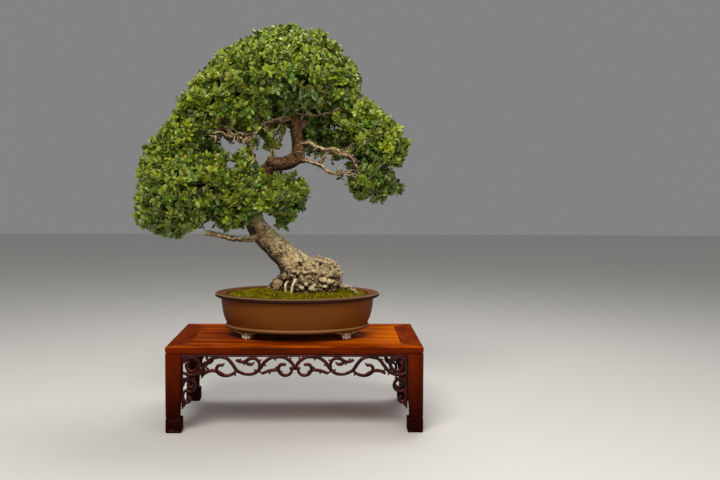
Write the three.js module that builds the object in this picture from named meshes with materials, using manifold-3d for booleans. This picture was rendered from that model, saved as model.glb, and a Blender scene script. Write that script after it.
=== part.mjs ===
// A coast live oak bonsai in an oval clay pot, on a carved display stand.
// Millimetres, +Z up. X runs along the stand's front, Y from the front to the back.
// Everything is placed about the middle of the stand, on the floor, and the whole is then
// moved so that the origin lies under the middle of its bounding box.

import * as THREE from 'three';
import { mergeVertices } from 'three/addons/utils/BufferGeometryUtils.js';
import Module from 'manifold-3d';

const wasm = await Module();
wasm.setup();

// Driving dimensions
const GAP = 0.3; // between pieces that touch

const STAND_WIDTH = 680;
const STAND_DEPTH = 410;
const STAND_HEIGHT = 230;
const RAIL_WIDTH = 56;
const RAIL_THICKNESS = 20;
const RAIL_ROUNDING = 3;
const PANEL_THICKNESS = 12;
const TONGUE_THICKNESS = 5;
const TONGUE_LENGTH = 8;
const BATTEN_WIDTH = 30;
const BATTEN_DEPTH = 14;
const LEG_SIDE = 41;
const LEG_WAIST = 35;
const HOOF_HEIGHT = 39;
const APRON_SETBACK = 5;
const APRON_THICKNESS = 12;
const APRON_BAR = 8;
const APRON_BAR_UNDER = 4; // of the bar, below the line the carving hangs from
const STEM_WIDTH = 6;

const POT_LENGTH = 463;
const POT_BREADTH = 363;
const POT_HEIGHT = 121;
const POT_FLOOR_BOTTOM = 24;
const POT_FLOOR_TOP = 36;
const POT_SEGMENTS = 28;
const FOOT_SPREAD_X = 132;
const FOOT_SPREAD_Y = 84;
const FOOT_THICKNESS = 26;
const FOOT_TURN = 0.45; // radians, to follow the oval
const DRAIN_DIAMETER = 40;
const DRAIN_SPREAD = 95;
const SCREEN_SIDE = 56;
const SCREEN_THICKNESS = 1.6;
const SCREEN_CELLS = 3;
const WIRE_DIAMETER = 2.5;
const SOIL_TOP = 106; // above the stand
const MOSS_EDGE = 114;
const MOSS_CROWN = 128;
const MOSS_RIPPLE = 2.5; // height of the hummocks in the moss

const FOLIAGE_GAP = 1.2; // between two leaf clouds

// Solids from closed meshes, and back

function solidOf(geometry) {
  const bare = geometry.clone();
  bare.deleteAttribute('normal');
  bare.deleteAttribute('uv');
  const merged = mergeVertices(bare, 1e-3);
  return new wasm.Manifold(
    new wasm.Mesh({
      numProp: 3,
      vertProperties: new Float32Array(merged.attributes.position.array),
      triVerts: new Uint32Array(merged.index.array),
    }),
  );
}

function geometryOf(solid) {
  const mesh = solid.getMesh();
  const geometry = new THREE.BufferGeometry();
  geometry.setAttribute('position', new THREE.BufferAttribute(mesh.vertProperties, 3));
  geometry.setIndex(new THREE.BufferAttribute(mesh.triVerts, 1));
  geometry.computeVertexNormals();
  return geometry;
}

const joined = (solids) => solids.reduce((whole, solid) => whole.add(solid));

const placed = (geometry, x, y, z) => geometry.translate(x, y, z);

function boxBetween(low, high) {
  const box = new THREE.BoxGeometry(high[0] - low[0], high[1] - low[1], high[2] - low[2]);
  return placed(box, (low[0] + high[0]) / 2, (low[1] + high[1]) / 2, (low[2] + high[2]) / 2);
}

function outline(points) {
  return new THREE.Shape(points.map(([x, y]) => new THREE.Vector2(x, y)));
}

function polygon(sides, radius) {
  const corners = [];
  for (let i = 0; i < sides; i += 1) {
    const turn = (2 * Math.PI * i) / sides;
    corners.push([radius * Math.cos(turn), radius * Math.sin(turn)]);
  }
  return outline(corners);
}

// A flat outline in the X-Z plane, given a thickness along Y that starts at y and goes back
function upright(shape, thickness, y = 0) {
  const plate = new THREE.ExtrudeGeometry(shape, { depth: thickness, bevelEnabled: false });
  return plate.rotateX(Math.PI / 2).translate(0, y + thickness, 0);
}

// Materials

const wood = (color, roughness = 0.4) =>
  new THREE.MeshStandardMaterial({ color, roughness, metalness: 0 });
const panelWood = wood(0xb5601a);
const railWood = wood(0x8f4514);
const legWood = wood(0x6a2c10);
const carvedWood = wood(0x3a120c);
const bark = new THREE.MeshStandardMaterial({ color: 0x7d6a55, roughness: 0.9 });
const leaf = new THREE.MeshStandardMaterial({ color: 0x4f7f24, roughness: 0.6 });
const mossGreen = new THREE.MeshStandardMaterial({ color: 0x6d7d1e, roughness: 0.95 });
const soilBrown = new THREE.MeshStandardMaterial({ color: 0x4a3a2a, roughness: 0.95 });
const clay = new THREE.MeshStandardMaterial({ color: 0x6a4326, roughness: 0.7 });
const plastic = new THREE.MeshStandardMaterial({ color: 0x20262a, roughness: 0.6 });
const wireMetal = new THREE.MeshStandardMaterial({ color: 0x9a8f84, roughness: 0.4, metalness: 0.9 });

const bonsai = new THREE.Group();

function addPiece(name, geometry, material, parent = bonsai) {
  const mesh = new THREE.Mesh(geometry, material);
  mesh.name = name;
  parent.add(mesh);
  return mesh;
}

// The stand's top: a panel that floats in the groove of four mitred rails

const halfWidth = STAND_WIDTH / 2;
const halfDepth = STAND_DEPTH / 2;
const railBottom = STAND_HEIGHT - RAIL_THICKNESS;
const tongueTop = STAND_HEIGHT - (PANEL_THICKNESS - TONGUE_THICKNESS) / 2;
const tongueBottom = tongueTop - TONGUE_THICKNESS;

// Across a rail: 0 at its outer face, RAIL_WIDTH at its inner one, heights above the floor
function railSection() {
  const rounding = [];
  for (let i = 0; i <= 3; i += 1) {
    const turn = (Math.PI / 2) * (i / 3);
    rounding.push([
      RAIL_ROUNDING - RAIL_ROUNDING * Math.cos(turn),
      STAND_HEIGHT - RAIL_ROUNDING + RAIL_ROUNDING * Math.sin(turn),
    ]);
  }
  const groove = RAIL_WIDTH - TONGUE_LENGTH - GAP;
  return outline([
    [0, railBottom],
    ...rounding,
    [RAIL_WIDTH, STAND_HEIGHT],
    [RAIL_WIDTH, tongueTop + GAP],
    [groove, tongueTop + GAP],
    [groove, tongueBottom - GAP],
    [RAIL_WIDTH, tongueBottom - GAP],
    [RAIL_WIDTH, railBottom],
  ].reverse());
}

// A rail along X whose outer face is at y = -offset, cut to 45 degrees at both ends
function mitredRail(length, offset) {
  const bar = new THREE.ExtrudeGeometry(railSection(), { depth: length, bevelEnabled: false });
  // section (across, height) and length become (length, across, height)
  bar.applyMatrix4(new THREE.Matrix4().set(
    0, 0, 1, -length / 2,
    1, 0, 0, -offset,
    0, 1, 0, 0,
    0, 0, 0, 1,
  ));
  const half = length / 2;
  const reach = RAIL_WIDTH + 20;
  const inset = GAP * Math.SQRT1_2;
  const trim = outline([
    [-half + inset, -offset],
    [half - inset, -offset],
    [half - inset - reach, -offset + reach],
    [-half + inset + reach, -offset + reach],
  ]);
  const block = new THREE.ExtrudeGeometry(trim, { depth: STAND_HEIGHT, bevelEnabled: false });
  return solidOf(bar).intersect(solidOf(block.translate(0, 0, RAIL_THICKNESS)));
}

function addStandTop() {
  for (const [name, length, offset, turn] of [
    ['stand_rail_front', STAND_WIDTH, halfDepth, 0],
    ['stand_rail_right', STAND_DEPTH, halfWidth, Math.PI / 2],
    ['stand_rail_back', STAND_WIDTH, halfDepth, Math.PI],
    ['stand_rail_left', STAND_DEPTH, halfWidth, -Math.PI / 2],
  ]) {
    const rail = geometryOf(mitredRail(length, offset));
    addPiece(name, rail.rotateZ(turn), railWood);
  }
  const face = [halfWidth - RAIL_WIDTH - GAP, halfDepth - RAIL_WIDTH - GAP];
  const tongue = face.map((half) => half + TONGUE_LENGTH);
  const board = solidOf(boxBetween(
    [-face[0], -face[1], STAND_HEIGHT - PANEL_THICKNESS],
    [face[0], face[1], STAND_HEIGHT],
  ));
  const edge = solidOf(boxBetween(
    [-tongue[0], -tongue[1], tongueBottom],
    [tongue[0], tongue[1], tongueTop],
  ));
  addPiece('stand_panel', geometryOf(board.add(edge)), panelWood);
  const battenTop = STAND_HEIGHT - PANEL_THICKNESS - GAP;
  for (const [name, x] of [['left', -halfWidth / 3], ['right', halfWidth / 3]]) {
    const batten = boxBetween(
      [x - BATTEN_WIDTH / 2, -face[1], battenTop - BATTEN_DEPTH],
      [x + BATTEN_WIDTH / 2, face[1], battenTop],
    );
    addPiece(`stand_batten_${name}`, batten, railWood);
  }
}

// The legs: square posts, hollowed a little on their two inner sides above a square hoof

const legTop = railBottom - GAP;

function legOutline() {
  const shape = new THREE.Shape();
  shape.moveTo(2, 0);
  shape.lineTo(LEG_SIDE - 2, 0);
  shape.lineTo(LEG_SIDE, 4);
  shape.lineTo(LEG_SIDE, HOOF_HEIGHT - 3);
  shape.lineTo(LEG_WAIST + 1, HOOF_HEIGHT);
  shape.quadraticCurveTo(LEG_WAIST - 2, HOOF_HEIGHT + 25, LEG_SIDE - 2, HOOF_HEIGHT + 58);
  shape.lineTo(LEG_SIDE, HOOF_HEIGHT + 75);
  shape.lineTo(LEG_SIDE, legTop);
  shape.lineTo(0, legTop);
  shape.lineTo(0, 3);
  return shape;
}

function legSolid() {
  const plate = (shape) =>
    new THREE.ExtrudeGeometry(shape, { depth: LEG_SIDE, bevelEnabled: false, curveSegments: 4 });
  const acrossX = plate(legOutline()).rotateX(Math.PI / 2).translate(0, LEG_SIDE, 0);
  // the same outline with its width along Y
  const acrossY = plate(legOutline()).applyMatrix4(new THREE.Matrix4().set(
    0, 0, 1, 0,
    1, 0, 0, 0,
    0, 1, 0, 0,
    0, 0, 0, 1,
  ));
  return solidOf(acrossX).intersect(solidOf(acrossY));
}

function addLegs() {
  for (const [name, x, y, turn] of [
    ['stand_leg_front_left', -halfWidth, -halfDepth, 0],
    ['stand_leg_front_right', halfWidth, -halfDepth, Math.PI / 2],
    ['stand_leg_back_right', halfWidth, halfDepth, Math.PI],
    ['stand_leg_back_left', -halfWidth, halfDepth, -Math.PI / 2],
  ]) {
    const leg = addPiece(name, geometryOf(legSolid()), legWood);
    leg.rotation.z = turn;
    leg.position.set(x, y, 0);
  }
}

// The carved work. Its outlines are drawn as (distance from the leg, depth under the bar's groove).

// A stem: a band of even width along a smooth curve through the points
function stem(points, width = STEM_WIDTH, step = 19) {
  const curve = new THREE.SplineCurve(points.map(([x, y]) => new THREE.Vector2(x, y)));
  const count = Math.max(2, Math.round(curve.getLength() / step));
  const left = [];
  const right = [];
  for (let i = 0; i <= count; i += 1) {
    const spot = curve.getPointAt(i / count);
    const along = curve.getTangentAt(i / count);
    left.push([spot.x - along.y * width / 2, spot.y + along.x * width / 2]);
    right.push([spot.x + along.y * width / 2, spot.y - along.x * width / 2]);
  }
  return outline([...left, ...right.reverse()]);
}

// A long stem that runs in halves, so that no band crosses itself
const LEFT_SPIRAL = [
  [[17, 19], [12, 26], [15, 36], [25, 43], [38, 39], [46, 27], [42, 13], [29, 6], [14, 9], [5, 20]],
  [[4, 46], [16, 52], [30, 52], [49, 44], [63, 27], [76, 11], [98, 5]],
];
const FIRST_ARCH = [
  [[92, 5], [106, 5], [121, 10], [134, 24], [146, 41], [163, 49]],
];
const FIRST_CURL = [
  [[145, 41], [136, 49], [122, 54], [107, 53], [95, 45], [92, 35], [98, 27], [107, 27]],
  [[112, 53], [98, 45], [84, 41], [70, 43], [59, 49]],
];
const SECOND_ARCH = [
  [[157, 48], [172, 51], [190, 49], [206, 36], [218, 19], [236, 7], [255, 5]],
  [[204, 36], [204, 20], [194, 9], [180, 9], [166, 17], [153, 17], [143, 12]],
  [[167, 17], [177, 24], [186, 24]],
];
const CENTRE_CURL = [
  [[249, 5], [270, 6], [286, 16], [295, 28], [298, 37]],
  [[291, 34], [288, 47], [275, 54], [262, 50], [254, 40], [240, 40], [226, 43], [211, 49]],
  [[258, 44], [255, 34], [262, 25], [272, 25]],
];
const CENTRE_LINK = [
  [[284, 35], [313, 35]],
];
const SIDE_LINK = [
  [[151, 45], [164, 50], [177, 45]],
];

const FRONT_STEMS = [...LEFT_SPIRAL, ...FIRST_ARCH, ...FIRST_CURL, ...SECOND_ARCH, ...CENTRE_CURL];
const SIDE_STEMS = [...LEFT_SPIRAL, ...FIRST_ARCH, ...FIRST_CURL];

const legGap = LEG_SIDE + GAP;
const carvingTop = railBottom - GAP - APRON_BAR + APRON_BAR_UNDER; // where depth 0 lies
const APRON_EDGE = [4, 56]; // the strip along the leg: width and depth

// An apron of the given outside length: a moulded bar with the carved stems under it, both ends alike
function apronGeometry(length, stems, middle = []) {
  const inside = length - 2 * legGap;
  const barTop = APRON_BAR_UNDER - APRON_BAR;
  const bar = outline([
    [0, barTop], [inside, barTop], [inside, APRON_BAR_UNDER], [0, APRON_BAR_UNDER],
  ]);
  const [edgeWidth, edgeDepth] = APRON_EDGE;
  const edge = outline([[0, 0], [edgeWidth, 0], [edgeWidth, edgeDepth], [0, edgeDepth]]);
  const flat = [bar, edge, ...stems.map((points) => stem(points))];
  const mirrored = (shape) => outline(
    shape.getPoints().map(({ x, y }) => [inside - x, y]).reverse(),
  );
  const between = middle.map((points) => stem(points));
  const shapes = [...flat, ...flat.slice(1).map(mirrored), ...between];
  const solids = shapes.map((shape) => solidOf(upright(shape, APRON_THICKNESS)));
  const apron = geometryOf(joined(solids));
  // depth below the rail becomes height above the floor
  apron.rotateX(Math.PI);
  return placed(apron, -inside / 2, APRON_THICKNESS, carvingTop);
}

function addAprons() {
  for (const [name, length, offset, stems, middle, turn] of [
    ['stand_apron_front', STAND_WIDTH, halfDepth, FRONT_STEMS, CENTRE_LINK, 0],
    ['stand_apron_right', STAND_DEPTH, halfWidth, SIDE_STEMS, SIDE_LINK, Math.PI / 2],
    ['stand_apron_back', STAND_WIDTH, halfDepth, FRONT_STEMS, CENTRE_LINK, Math.PI],
    ['stand_apron_left', STAND_DEPTH, halfWidth, SIDE_STEMS, SIDE_LINK, -Math.PI / 2],
  ]) {
    const apron = apronGeometry(length, stems, middle);
    placed(apron, 0, -offset + APRON_SETBACK, 0);
    addPiece(name, apron.rotateZ(turn), carvedWood);
  }
}

// A spandrel: a strip on the leg, a ring with a hook in it and a small curl under that
const SPANDREL_STEMS = [
  [[4, 82], [8, 70], [20, 64], [32, 70], [36, 82], [30, 93], [18, 97], [8, 92]],
  [[34, 76], [28, 86], [18, 84], [17, 76]],
  [[10, 94], [4, 104], [5, 118], [14, 126], [22, 120], [18, 111]],
  [[10, 124], [4, 136]],
];
const SPANDREL_TOP = 60;
const SPANDREL_BOTTOM = 142;

function spandrelGeometry(length) {
  const strip = outline([
    [0, SPANDREL_TOP], [4, SPANDREL_TOP], [4, SPANDREL_BOTTOM - 6], [0, SPANDREL_BOTTOM],
  ]);
  const shoulder = outline([
    [0, SPANDREL_TOP], [34, SPANDREL_TOP], [34, SPANDREL_TOP + 4], [0, SPANDREL_TOP + 9],
  ]);
  const neck = stem([[20, SPANDREL_TOP + 1], [20, SPANDREL_TOP + 6]]);
  const shapes = [strip, shoulder, neck, ...SPANDREL_STEMS.map((points) => stem(points, 5, 14))];
  const solids = shapes.map((shape) => solidOf(upright(shape, APRON_THICKNESS)));
  const spandrel = geometryOf(joined(solids)).rotateX(Math.PI);
  return placed(spandrel, -length / 2 + legGap, APRON_THICKNESS, carvingTop);
}

function addSpandrels() {
  for (const [side, length, offset, turn] of [
    ['front', STAND_WIDTH, halfDepth, 0],
    ['right', STAND_DEPTH, halfWidth, Math.PI / 2],
    ['back', STAND_WIDTH, halfDepth, Math.PI],
    ['left', STAND_DEPTH, halfWidth, -Math.PI / 2],
  ]) {
    for (const end of ['a', 'b']) {
      const spandrel = solidOf(spandrelGeometry(length));
      const whole = geometryOf(end === 'a' ? spandrel : spandrel.mirror([1, 0, 0]));
      placed(whole, 0, -offset + APRON_SETBACK, 0);
      addPiece(`stand_spandrel_${side}_${end}`, whole.rotateZ(turn), carvedWood);
    }
  }
}

// The pot: one piece of clay, turned as a round form and drawn out to an oval

const potBase = STAND_HEIGHT + GAP;
const ovalness = POT_BREADTH / POT_LENGTH;

function turned(profile) {
  const points = profile.map(([radius, height]) => new THREE.Vector2(radius, height));
  return new THREE.LatheGeometry(points, POT_SEGMENTS).rotateX(Math.PI / 2);
}

// Radius and height of the pot's inside, up the wall
const POT_INSIDE = [[180, POT_FLOOR_TOP], [187, 42], [192, 60], [197, 100]];
const RIM_INSIDE = [[203, POT_HEIGHT], [200, 118]];
const POT_OUTSIDE = [
  [196, POT_FLOOR_BOTTOM], [202, 27], [202, 32], [198, 35], [207, 55], [212.5, 80], [214.5, 104],
  [220, 109], [POT_LENGTH / 2 - 1, 112], [POT_LENGTH / 2, 116], [POT_LENGTH / 2 - 2, POT_HEIGHT],
];

function footOutline() {
  const half = [[0, 0], [8, 0], [13, 4], [14, 12], [20, 16], [38, 22], [40, 28]];
  const other = half.slice(1).map(([x, z]) => [-x, z]).reverse();
  return outline([...half, ...other]);
}

function potSolid() {
  const bowl = turned([
    [0, POT_FLOOR_BOTTOM], ...POT_OUTSIDE, ...RIM_INSIDE,
    ...POT_INSIDE.slice().reverse(), [0, POT_FLOOR_TOP],
  ]).scale(1, ovalness, 1);
  let pot = solidOf(bowl);
  for (const side of [-1, 1]) {
    for (const face of [-1, 1]) {
      const foot = upright(footOutline(), FOOT_THICKNESS, -FOOT_THICKNESS / 2);
      foot.rotateZ(-side * face * FOOT_TURN);
      pot = pot.add(solidOf(placed(foot, side * FOOT_SPREAD_X, face * FOOT_SPREAD_Y, 0)));
    }
    const drain = new THREE.CylinderGeometry(DRAIN_DIAMETER / 2, DRAIN_DIAMETER / 2, 80, 20);
    pot = pot.subtract(solidOf(placed(drain.rotateX(Math.PI / 2), side * DRAIN_SPREAD, 0, 20)));
  }
  return pot;
}

function addPot() {
  const pot = addPiece('pot', geometryOf(potSolid()), clay);
  pot.position.z = potBase;
}

// A screen over each drain hole, held by a bent wire that goes down through it

const screenBottom = POT_FLOOR_TOP + GAP;
const screenPitch = SCREEN_SIDE / (SCREEN_CELLS + 0.35);

function screenSolid() {
  const half = SCREEN_SIDE / 2;
  const bar = screenPitch * 0.35;
  const bars = [];
  for (let line = 0; line <= SCREEN_CELLS; line += 1) {
    const middle = (line - SCREEN_CELLS / 2) * screenPitch;
    const low = middle - bar / 2;
    const high = middle + bar / 2;
    bars.push(solidOf(boxBetween([-half, low, 0], [half, high, SCREEN_THICKNESS])));
    bars.push(solidOf(boxBetween([low, -half, 0], [high, half, SCREEN_THICKNESS])));
  }
  return joined(bars);
}

function roundWire(points, diameter, steps) {
  const spots = points.map((p) => new THREE.Vector3(...p));
  const path = new THREE.CatmullRomCurve3(spots, false, 'centripetal');
  const section = polygon(6, diameter / 2);
  return new THREE.ExtrudeGeometry(section, { steps, extrudePath: path, bevelEnabled: false });
}

function addDrainScreens() {
  for (const [side, x] of [['left', -DRAIN_SPREAD], ['right', DRAIN_SPREAD]]) {
    const screen = addPiece(`drain_screen_${side}`, geometryOf(screenSolid()), plastic);
    screen.position.set(x, 0, potBase + screenBottom);
    const top = SCREEN_THICKNESS + WIRE_DIAMETER / 2 + GAP;
    const under = POT_FLOOR_BOTTOM - screenBottom - WIRE_DIAMETER / 2 - GAP;
    const leg = screenPitch;
    const half = [
      [leg + 14, 0, under], [leg + 5, 0, under], [leg + 1.2, 0, under + 1.2], [leg, 0, under + 5],
      [leg, 0, -2], [leg - 0.4, 0, top - 1], [leg - 2.4, 0, top],
    ];
    const other = half.map(([along, y, z]) => [-along, y, z]).reverse();
    const clip = roundWire([...half, ...other], WIRE_DIAMETER, 24);
    const wire = addPiece(`screen_clip_${side}`, clip, wireMetal);
    wire.position.set(x, 0, potBase + screenBottom);
  }
}

// The tree's wood: each limb is a list of [x, y, z, radius] from its foot to its tip

const TRUNK = [
  [22, 0, 352, 58], [2, 0, 412, 50], [-30, -2, 450, 38], [-66, -2, 484, 34], [-108, 0, 528, 26],
  [-132, 6, 574, 24], [-124, 12, 628, 23], [-102, 14, 676, 21], [-70, 8, 710, 20], [-30, 0, 716, 20],
  [-1, -5, 734, 20], [1, -6, 772, 18], [-5, -2, 815, 16], [-6, 4, 856, 15], [4, 10, 895, 12],
  [0, 6, 945, 9], [4, 0, 1000, 6], [0, 0, 1045, 4],
];

const LIMBS = [
  // the dead stub on the trunk's bend, with its thin twig
  [[-74, -4, 712, 11], [-74, -10, 736, 9], [-68, -14, 756, 6], [-60, -17, 768, 3.5], [-46, -20, 784, 3]],
  // low left: the cut stub, and the branch above it that carries the left side
  [[-102, -10, 512, 11], [-140, -28, 503, 8], [-178, -38, 505, 7], [-217, -46, 514, 7], [-252, -50, 521, 7]],
  [[-118, -6, 552, 12], [-163, -28, 545, 10], [-230, -36, 560, 8], [-320, -34, 566, 6], [-420, -20, 572, 4]],
  // the left side, half way up
  [[-126, 8, 622, 12], [-180, -10, 642, 10], [-250, -18, 656, 8], [-330, -8, 652, 6], [-410, 0, 646, 4]],
  [[-250, -18, 656, 7], [-290, 0, 690, 6], [-340, 6, 726, 5], [-385, 6, 742, 4]],
  [[-180, -10, 642, 8], [-240, -60, 640, 6], [-300, -105, 640, 4]],
  [[-108, 14, 664, 12], [-150, 60, 660, 9], [-200, 100, 644, 7], [-250, 130, 636, 4]],
  // high left: the bare forked branch over the open window
  [[-8, -2, 846, 11], [-48, -14, 848, 9], [-87, -26, 836, 8], [-122, -36, 806, 7], [-147, -42, 780, 7],
    [-166, -42, 786, 6.5], [-184, -42, 797, 6], [-199, -42, 815, 6], [-240, -34, 828, 5],
    [-300, -12, 838, 4]],
  [[-197, -42, 810, 5], [-222, -50, 802, 4.5], [-250, -56, 804, 4], [-290, -50, 815, 3.5]],
  [[-150, -42, 780, 5], [-186, -52, 789, 4.5], [-210, -60, 798, 4], [-230, -66, 795, 3]],
  [[-132, -38, 786, 3.5], [-126, -38, 748, 3], [-121, -38, 720, 3]],
  // right: the knobby branch and the forked one under it
  [[6, -6, 768, 11], [30, -20, 771, 9], [56, -30, 760, 8], [82, -38, 750, 8], [102, -42, 750, 10],
    [124, -44, 743, 8], [146, -46, 736, 7], [160, -46, 714, 6], [172, -42, 690, 5], [196, -30, 672, 4]],
  [[118, -44, 745, 6], [150, -34, 760, 5], [190, -16, 776, 4.5], [236, -4, 782, 4], [268, -2, 762, 3.5]],
  [[4, -6, 726, 10], [33, -26, 720, 7], [63, -38, 711, 6], [83, -42, 690, 5.5], [110, -46, 687, 5],
    [142, -48, 693, 5], [164, -46, 684, 4.5], [190, -36, 664, 4]],
  [[60, -37, 712, 5], [74, -40, 728, 4.5], [84, -40, 744, 5]],
  // right shoulder and back right
  [[-4, 0, 812, 12], [50, 16, 842, 9], [110, 18, 846, 7], [180, 10, 820, 5], [235, 4, 808, 4]],
  [[0, 2, 752, 11], [36, 46, 776, 8], [78, 90, 796, 6], [110, 104, 806, 4]],
  // the crown
  [[-5, 4, 860, 12], [-56, 14, 900, 9], [-116, 8, 930, 7], [-190, 0, 948, 4]],
  [[0, 8, 872, 11], [46, -2, 902, 8], [84, -4, 930, 6], [108, 0, 958, 4]],
  [[0, 2, 880, 9], [-18, -52, 910, 7], [-36, -100, 934, 4]],
  [[0, 12, 872, 9], [-30, 74, 895, 7], [-62, 124, 905, 4]],
  // centre low: in front of, right of and behind the trunk
  [[-130, 2, 584, 11], [-124, -36, 604, 8], [-114, -70, 626, 6], [-96, -94, 640, 4]],
  [[-124, 10, 622, 11], [-84, 24, 640, 8], [-50, 30, 632, 6], [-20, 30, 612, 4]],
  [[-126, -6, 548, 9], [-160, -34, 566, 7], [-196, -46, 576, 4]],
];

// Surface roots that run out of the burl and down into the moss
const ROOTS = [
  // the round knob at the left, and the two pale tusks beside it
  [[-18, -28, 404, 14], [-42, -40, 394, 13], [-58, -46, 384, 15], [-63, -48, 368, 14], [-60, -50, 322, 8]],
  [[-8, -30, 412, 8], [-25, -58, 404, 6], [-33, -74, 386, 5.5], [-32, -79, 362, 5], [-30, -82, 322, 4]],
  [[6, -36, 414, 8], [-8, -64, 406, 7], [-16, -78, 388, 6], [-16, -82, 364, 5.5], [-13, -84, 322, 4]],
  // front, right and back
  [[34, -58, 394, 14], [37, -74, 374, 13], [36, -84, 350, 11], [34, -92, 322, 8]],
  [[98, -6, 392, 14], [126, -17, 380, 10], [146, -22, 366, 9], [160, -26, 348, 8], [172, -30, 322, 6]],
  [[80, 40, 390, 16], [108, 58, 368, 13], [130, 72, 344, 10], [144, 80, 318, 7]],
  [[4, 52, 396, 15], [-8, 76, 372, 12], [-18, 96, 344, 10], [-22, 108, 318, 7]],
  [[-34, 24, 402, 14], [-60, 40, 378, 12], [-84, 56, 348, 10], [-98, 64, 318, 7]],
];

const BURL_AT = [40, 0, 397];
const BURL_SIZE = [86, 74, 56];

// A tapering limb: a thin rod along the curve, each ring then spread to its radius. With
// extra it is that much larger all over, also at its two ends.
function limb(points, extra = 0, sides = 5) {
  const spots = points.map(([x, y, z]) => new THREE.Vector3(x, y, z));
  const path = new THREE.CatmullRomCurve3(spots, false, 'centripetal');
  const steps = Math.max(3, points.length);
  const shape = polygon(sides, 1);
  const rod = new THREE.ExtrudeGeometry(shape, { steps, extrudePath: path, bevelEnabled: false });
  const centres = path.getSpacedPoints(steps);
  const radii = centres.map((_, i) => {
    const t = path.getUtoTmapping(i / steps) * (points.length - 1);
    const before = Math.min(Math.floor(t), points.length - 2);
    return THREE.MathUtils.lerp(points[before][3], points[before + 1][3], t - before) + extra;
  });
  const position = rod.attributes.position;
  const vertex = new THREE.Vector3();
  for (let i = 0; i < position.count; i += 1) {
    vertex.fromBufferAttribute(position, i);
    const distances = centres.map((centre) => centre.distanceTo(vertex));
    const ring = distances.indexOf(Math.min(...distances));
    vertex.sub(centres[ring]).multiplyScalar(radii[ring]).add(centres[ring]);
    if (ring === 0 || ring === steps) {
      vertex.addScaledVector(path.getTangentAt(ring / steps), ring ? extra : -extra);
    }
    position.setXYZ(i, vertex.x, vertex.y, vertex.z);
  }
  return solidOf(rod);
}

// A smooth pseudo-random swelling between -1 and 1 over the unit ball
function swelling({ x, y, z }, seed) {
  const broad = Math.sin(3.1 * x + seed) * Math.cos(2.7 * y - 1.7 * seed);
  const upward = Math.sin(3.3 * z + 2.3 * seed);
  const across = Math.sin(6.1 * y + 0.6 * seed) * Math.cos(5.7 * x + 2.1 * seed);
  const fine = across * Math.sin(5.3 * z - seed);
  return 0.35 * (broad + upward) + 0.3 * fine;
}

// A lumpy rounded form; flat under 1 makes its underside shallower than its top
function lump({ at, size, seed, rough = 0.1, flat = 1, detail = 1 }, extra = 0) {
  const ball = new THREE.IcosahedronGeometry(1, detail);
  const position = ball.attributes.position;
  const vertex = new THREE.Vector3();
  for (let i = 0; i < position.count; i += 1) {
    vertex.fromBufferAttribute(position, i);
    const swell = 1 + rough * swelling(vertex, seed);
    const depth = vertex.z < 0 ? flat : 1;
    position.setXYZ(
      i,
      at[0] + vertex.x * (size[0] * swell + extra),
      at[1] + vertex.y * (size[1] * swell + extra),
      at[2] + vertex.z * (size[2] * swell * depth + extra),
    );
  }
  return solidOf(ball);
}

function treeSolid(extra = 0) {
  const burl = lump({ at: BURL_AT, size: BURL_SIZE, seed: 4, rough: 0.16, detail: 2 }, extra);
  const limbs = [...LIMBS, ...ROOTS].map((points) => limb(points, extra));
  return joined([burl, limb(TRUNK, extra, 10), ...limbs]);
}

const tree = treeSolid();
const roomForTree = treeSolid(GAP * 2);

// The leaf clouds. Each gives way to those before it in the list.
const FOLIAGE = [
  { name: 'apex', at: [-22, 0, 1022], size: [122, 118, 78], flat: 0.8, seed: 1, detail: 2 },
  { name: 'upper_left', at: [-161, -5, 960], size: [102, 112, 74], flat: 0.85, seed: 2, detail: 2 },
  { name: 'upper_right', at: [102, 0, 943], size: [86, 108, 74], flat: 0.9, seed: 3, detail: 2 },
  { name: 'left_shoulder', at: [-240, -8, 874], size: [107, 110, 68], flat: 0.8, seed: 4, detail: 2 },
  { name: 'left_upper', at: [-333, 0, 752], size: [102, 108, 68], flat: 0.9, seed: 5, detail: 2 },
  { name: 'left_middle', at: [-359, 0, 672], size: [93, 110, 62], flat: 0.8, seed: 6, detail: 2 },
  { name: 'left_low', at: [-378, -8, 572], size: [87, 98, 56], flat: 0.9, seed: 7 },
  { name: 'left_inner', at: [-238, -4, 654], size: [104, 108, 86], flat: 0.85, seed: 8, detail: 2 },
  { name: 'left_under', at: [-297, -20, 566], size: [66, 86, 42], seed: 9 },
  { name: 'left_front', at: [-290, -122, 650], size: [100, 70, 68], flat: 0.8, seed: 10 },
  { name: 'upper_front', at: [-42, -112, 944], size: [128, 80, 74], flat: 0.7, seed: 11 },
  { name: 'crown_left', at: [-124, -26, 864], size: [72, 82, 44], seed: 12 },
  { name: 'right_shoulder', at: [178, 0, 814], size: [86, 108, 62], flat: 0.85, seed: 13, detail: 2 },
  { name: 'right_outer', at: [250, -4, 756], size: [60, 84, 48], seed: 14 },
  { name: 'right_inner', at: [204, 14, 708], size: [54, 70, 38], seed: 15 },
  { name: 'right_low', at: [217, -16, 660], size: [78, 84, 44], seed: 16 },
  { name: 'back_right', at: [84, 106, 806], size: [88, 76, 66], flat: 0.8, seed: 17 },
  { name: 'center_front', at: [-101, -88, 612], size: [82, 70, 52], flat: 0.9, seed: 18 },
  { name: 'center_low', at: [-38, 34, 612], size: [62, 84, 74], flat: 0.95, seed: 19 },
  { name: 'low_front', at: [-178, -46, 566], size: [56, 66, 42], flat: 0.9, seed: 20 },
  { name: 'back_upper', at: [-66, 134, 902], size: [116, 78, 76], flat: 0.75, seed: 21 },
  { name: 'back_low', at: [-226, 134, 646], size: [98, 76, 70], flat: 0.85, seed: 22 },
];

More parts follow.
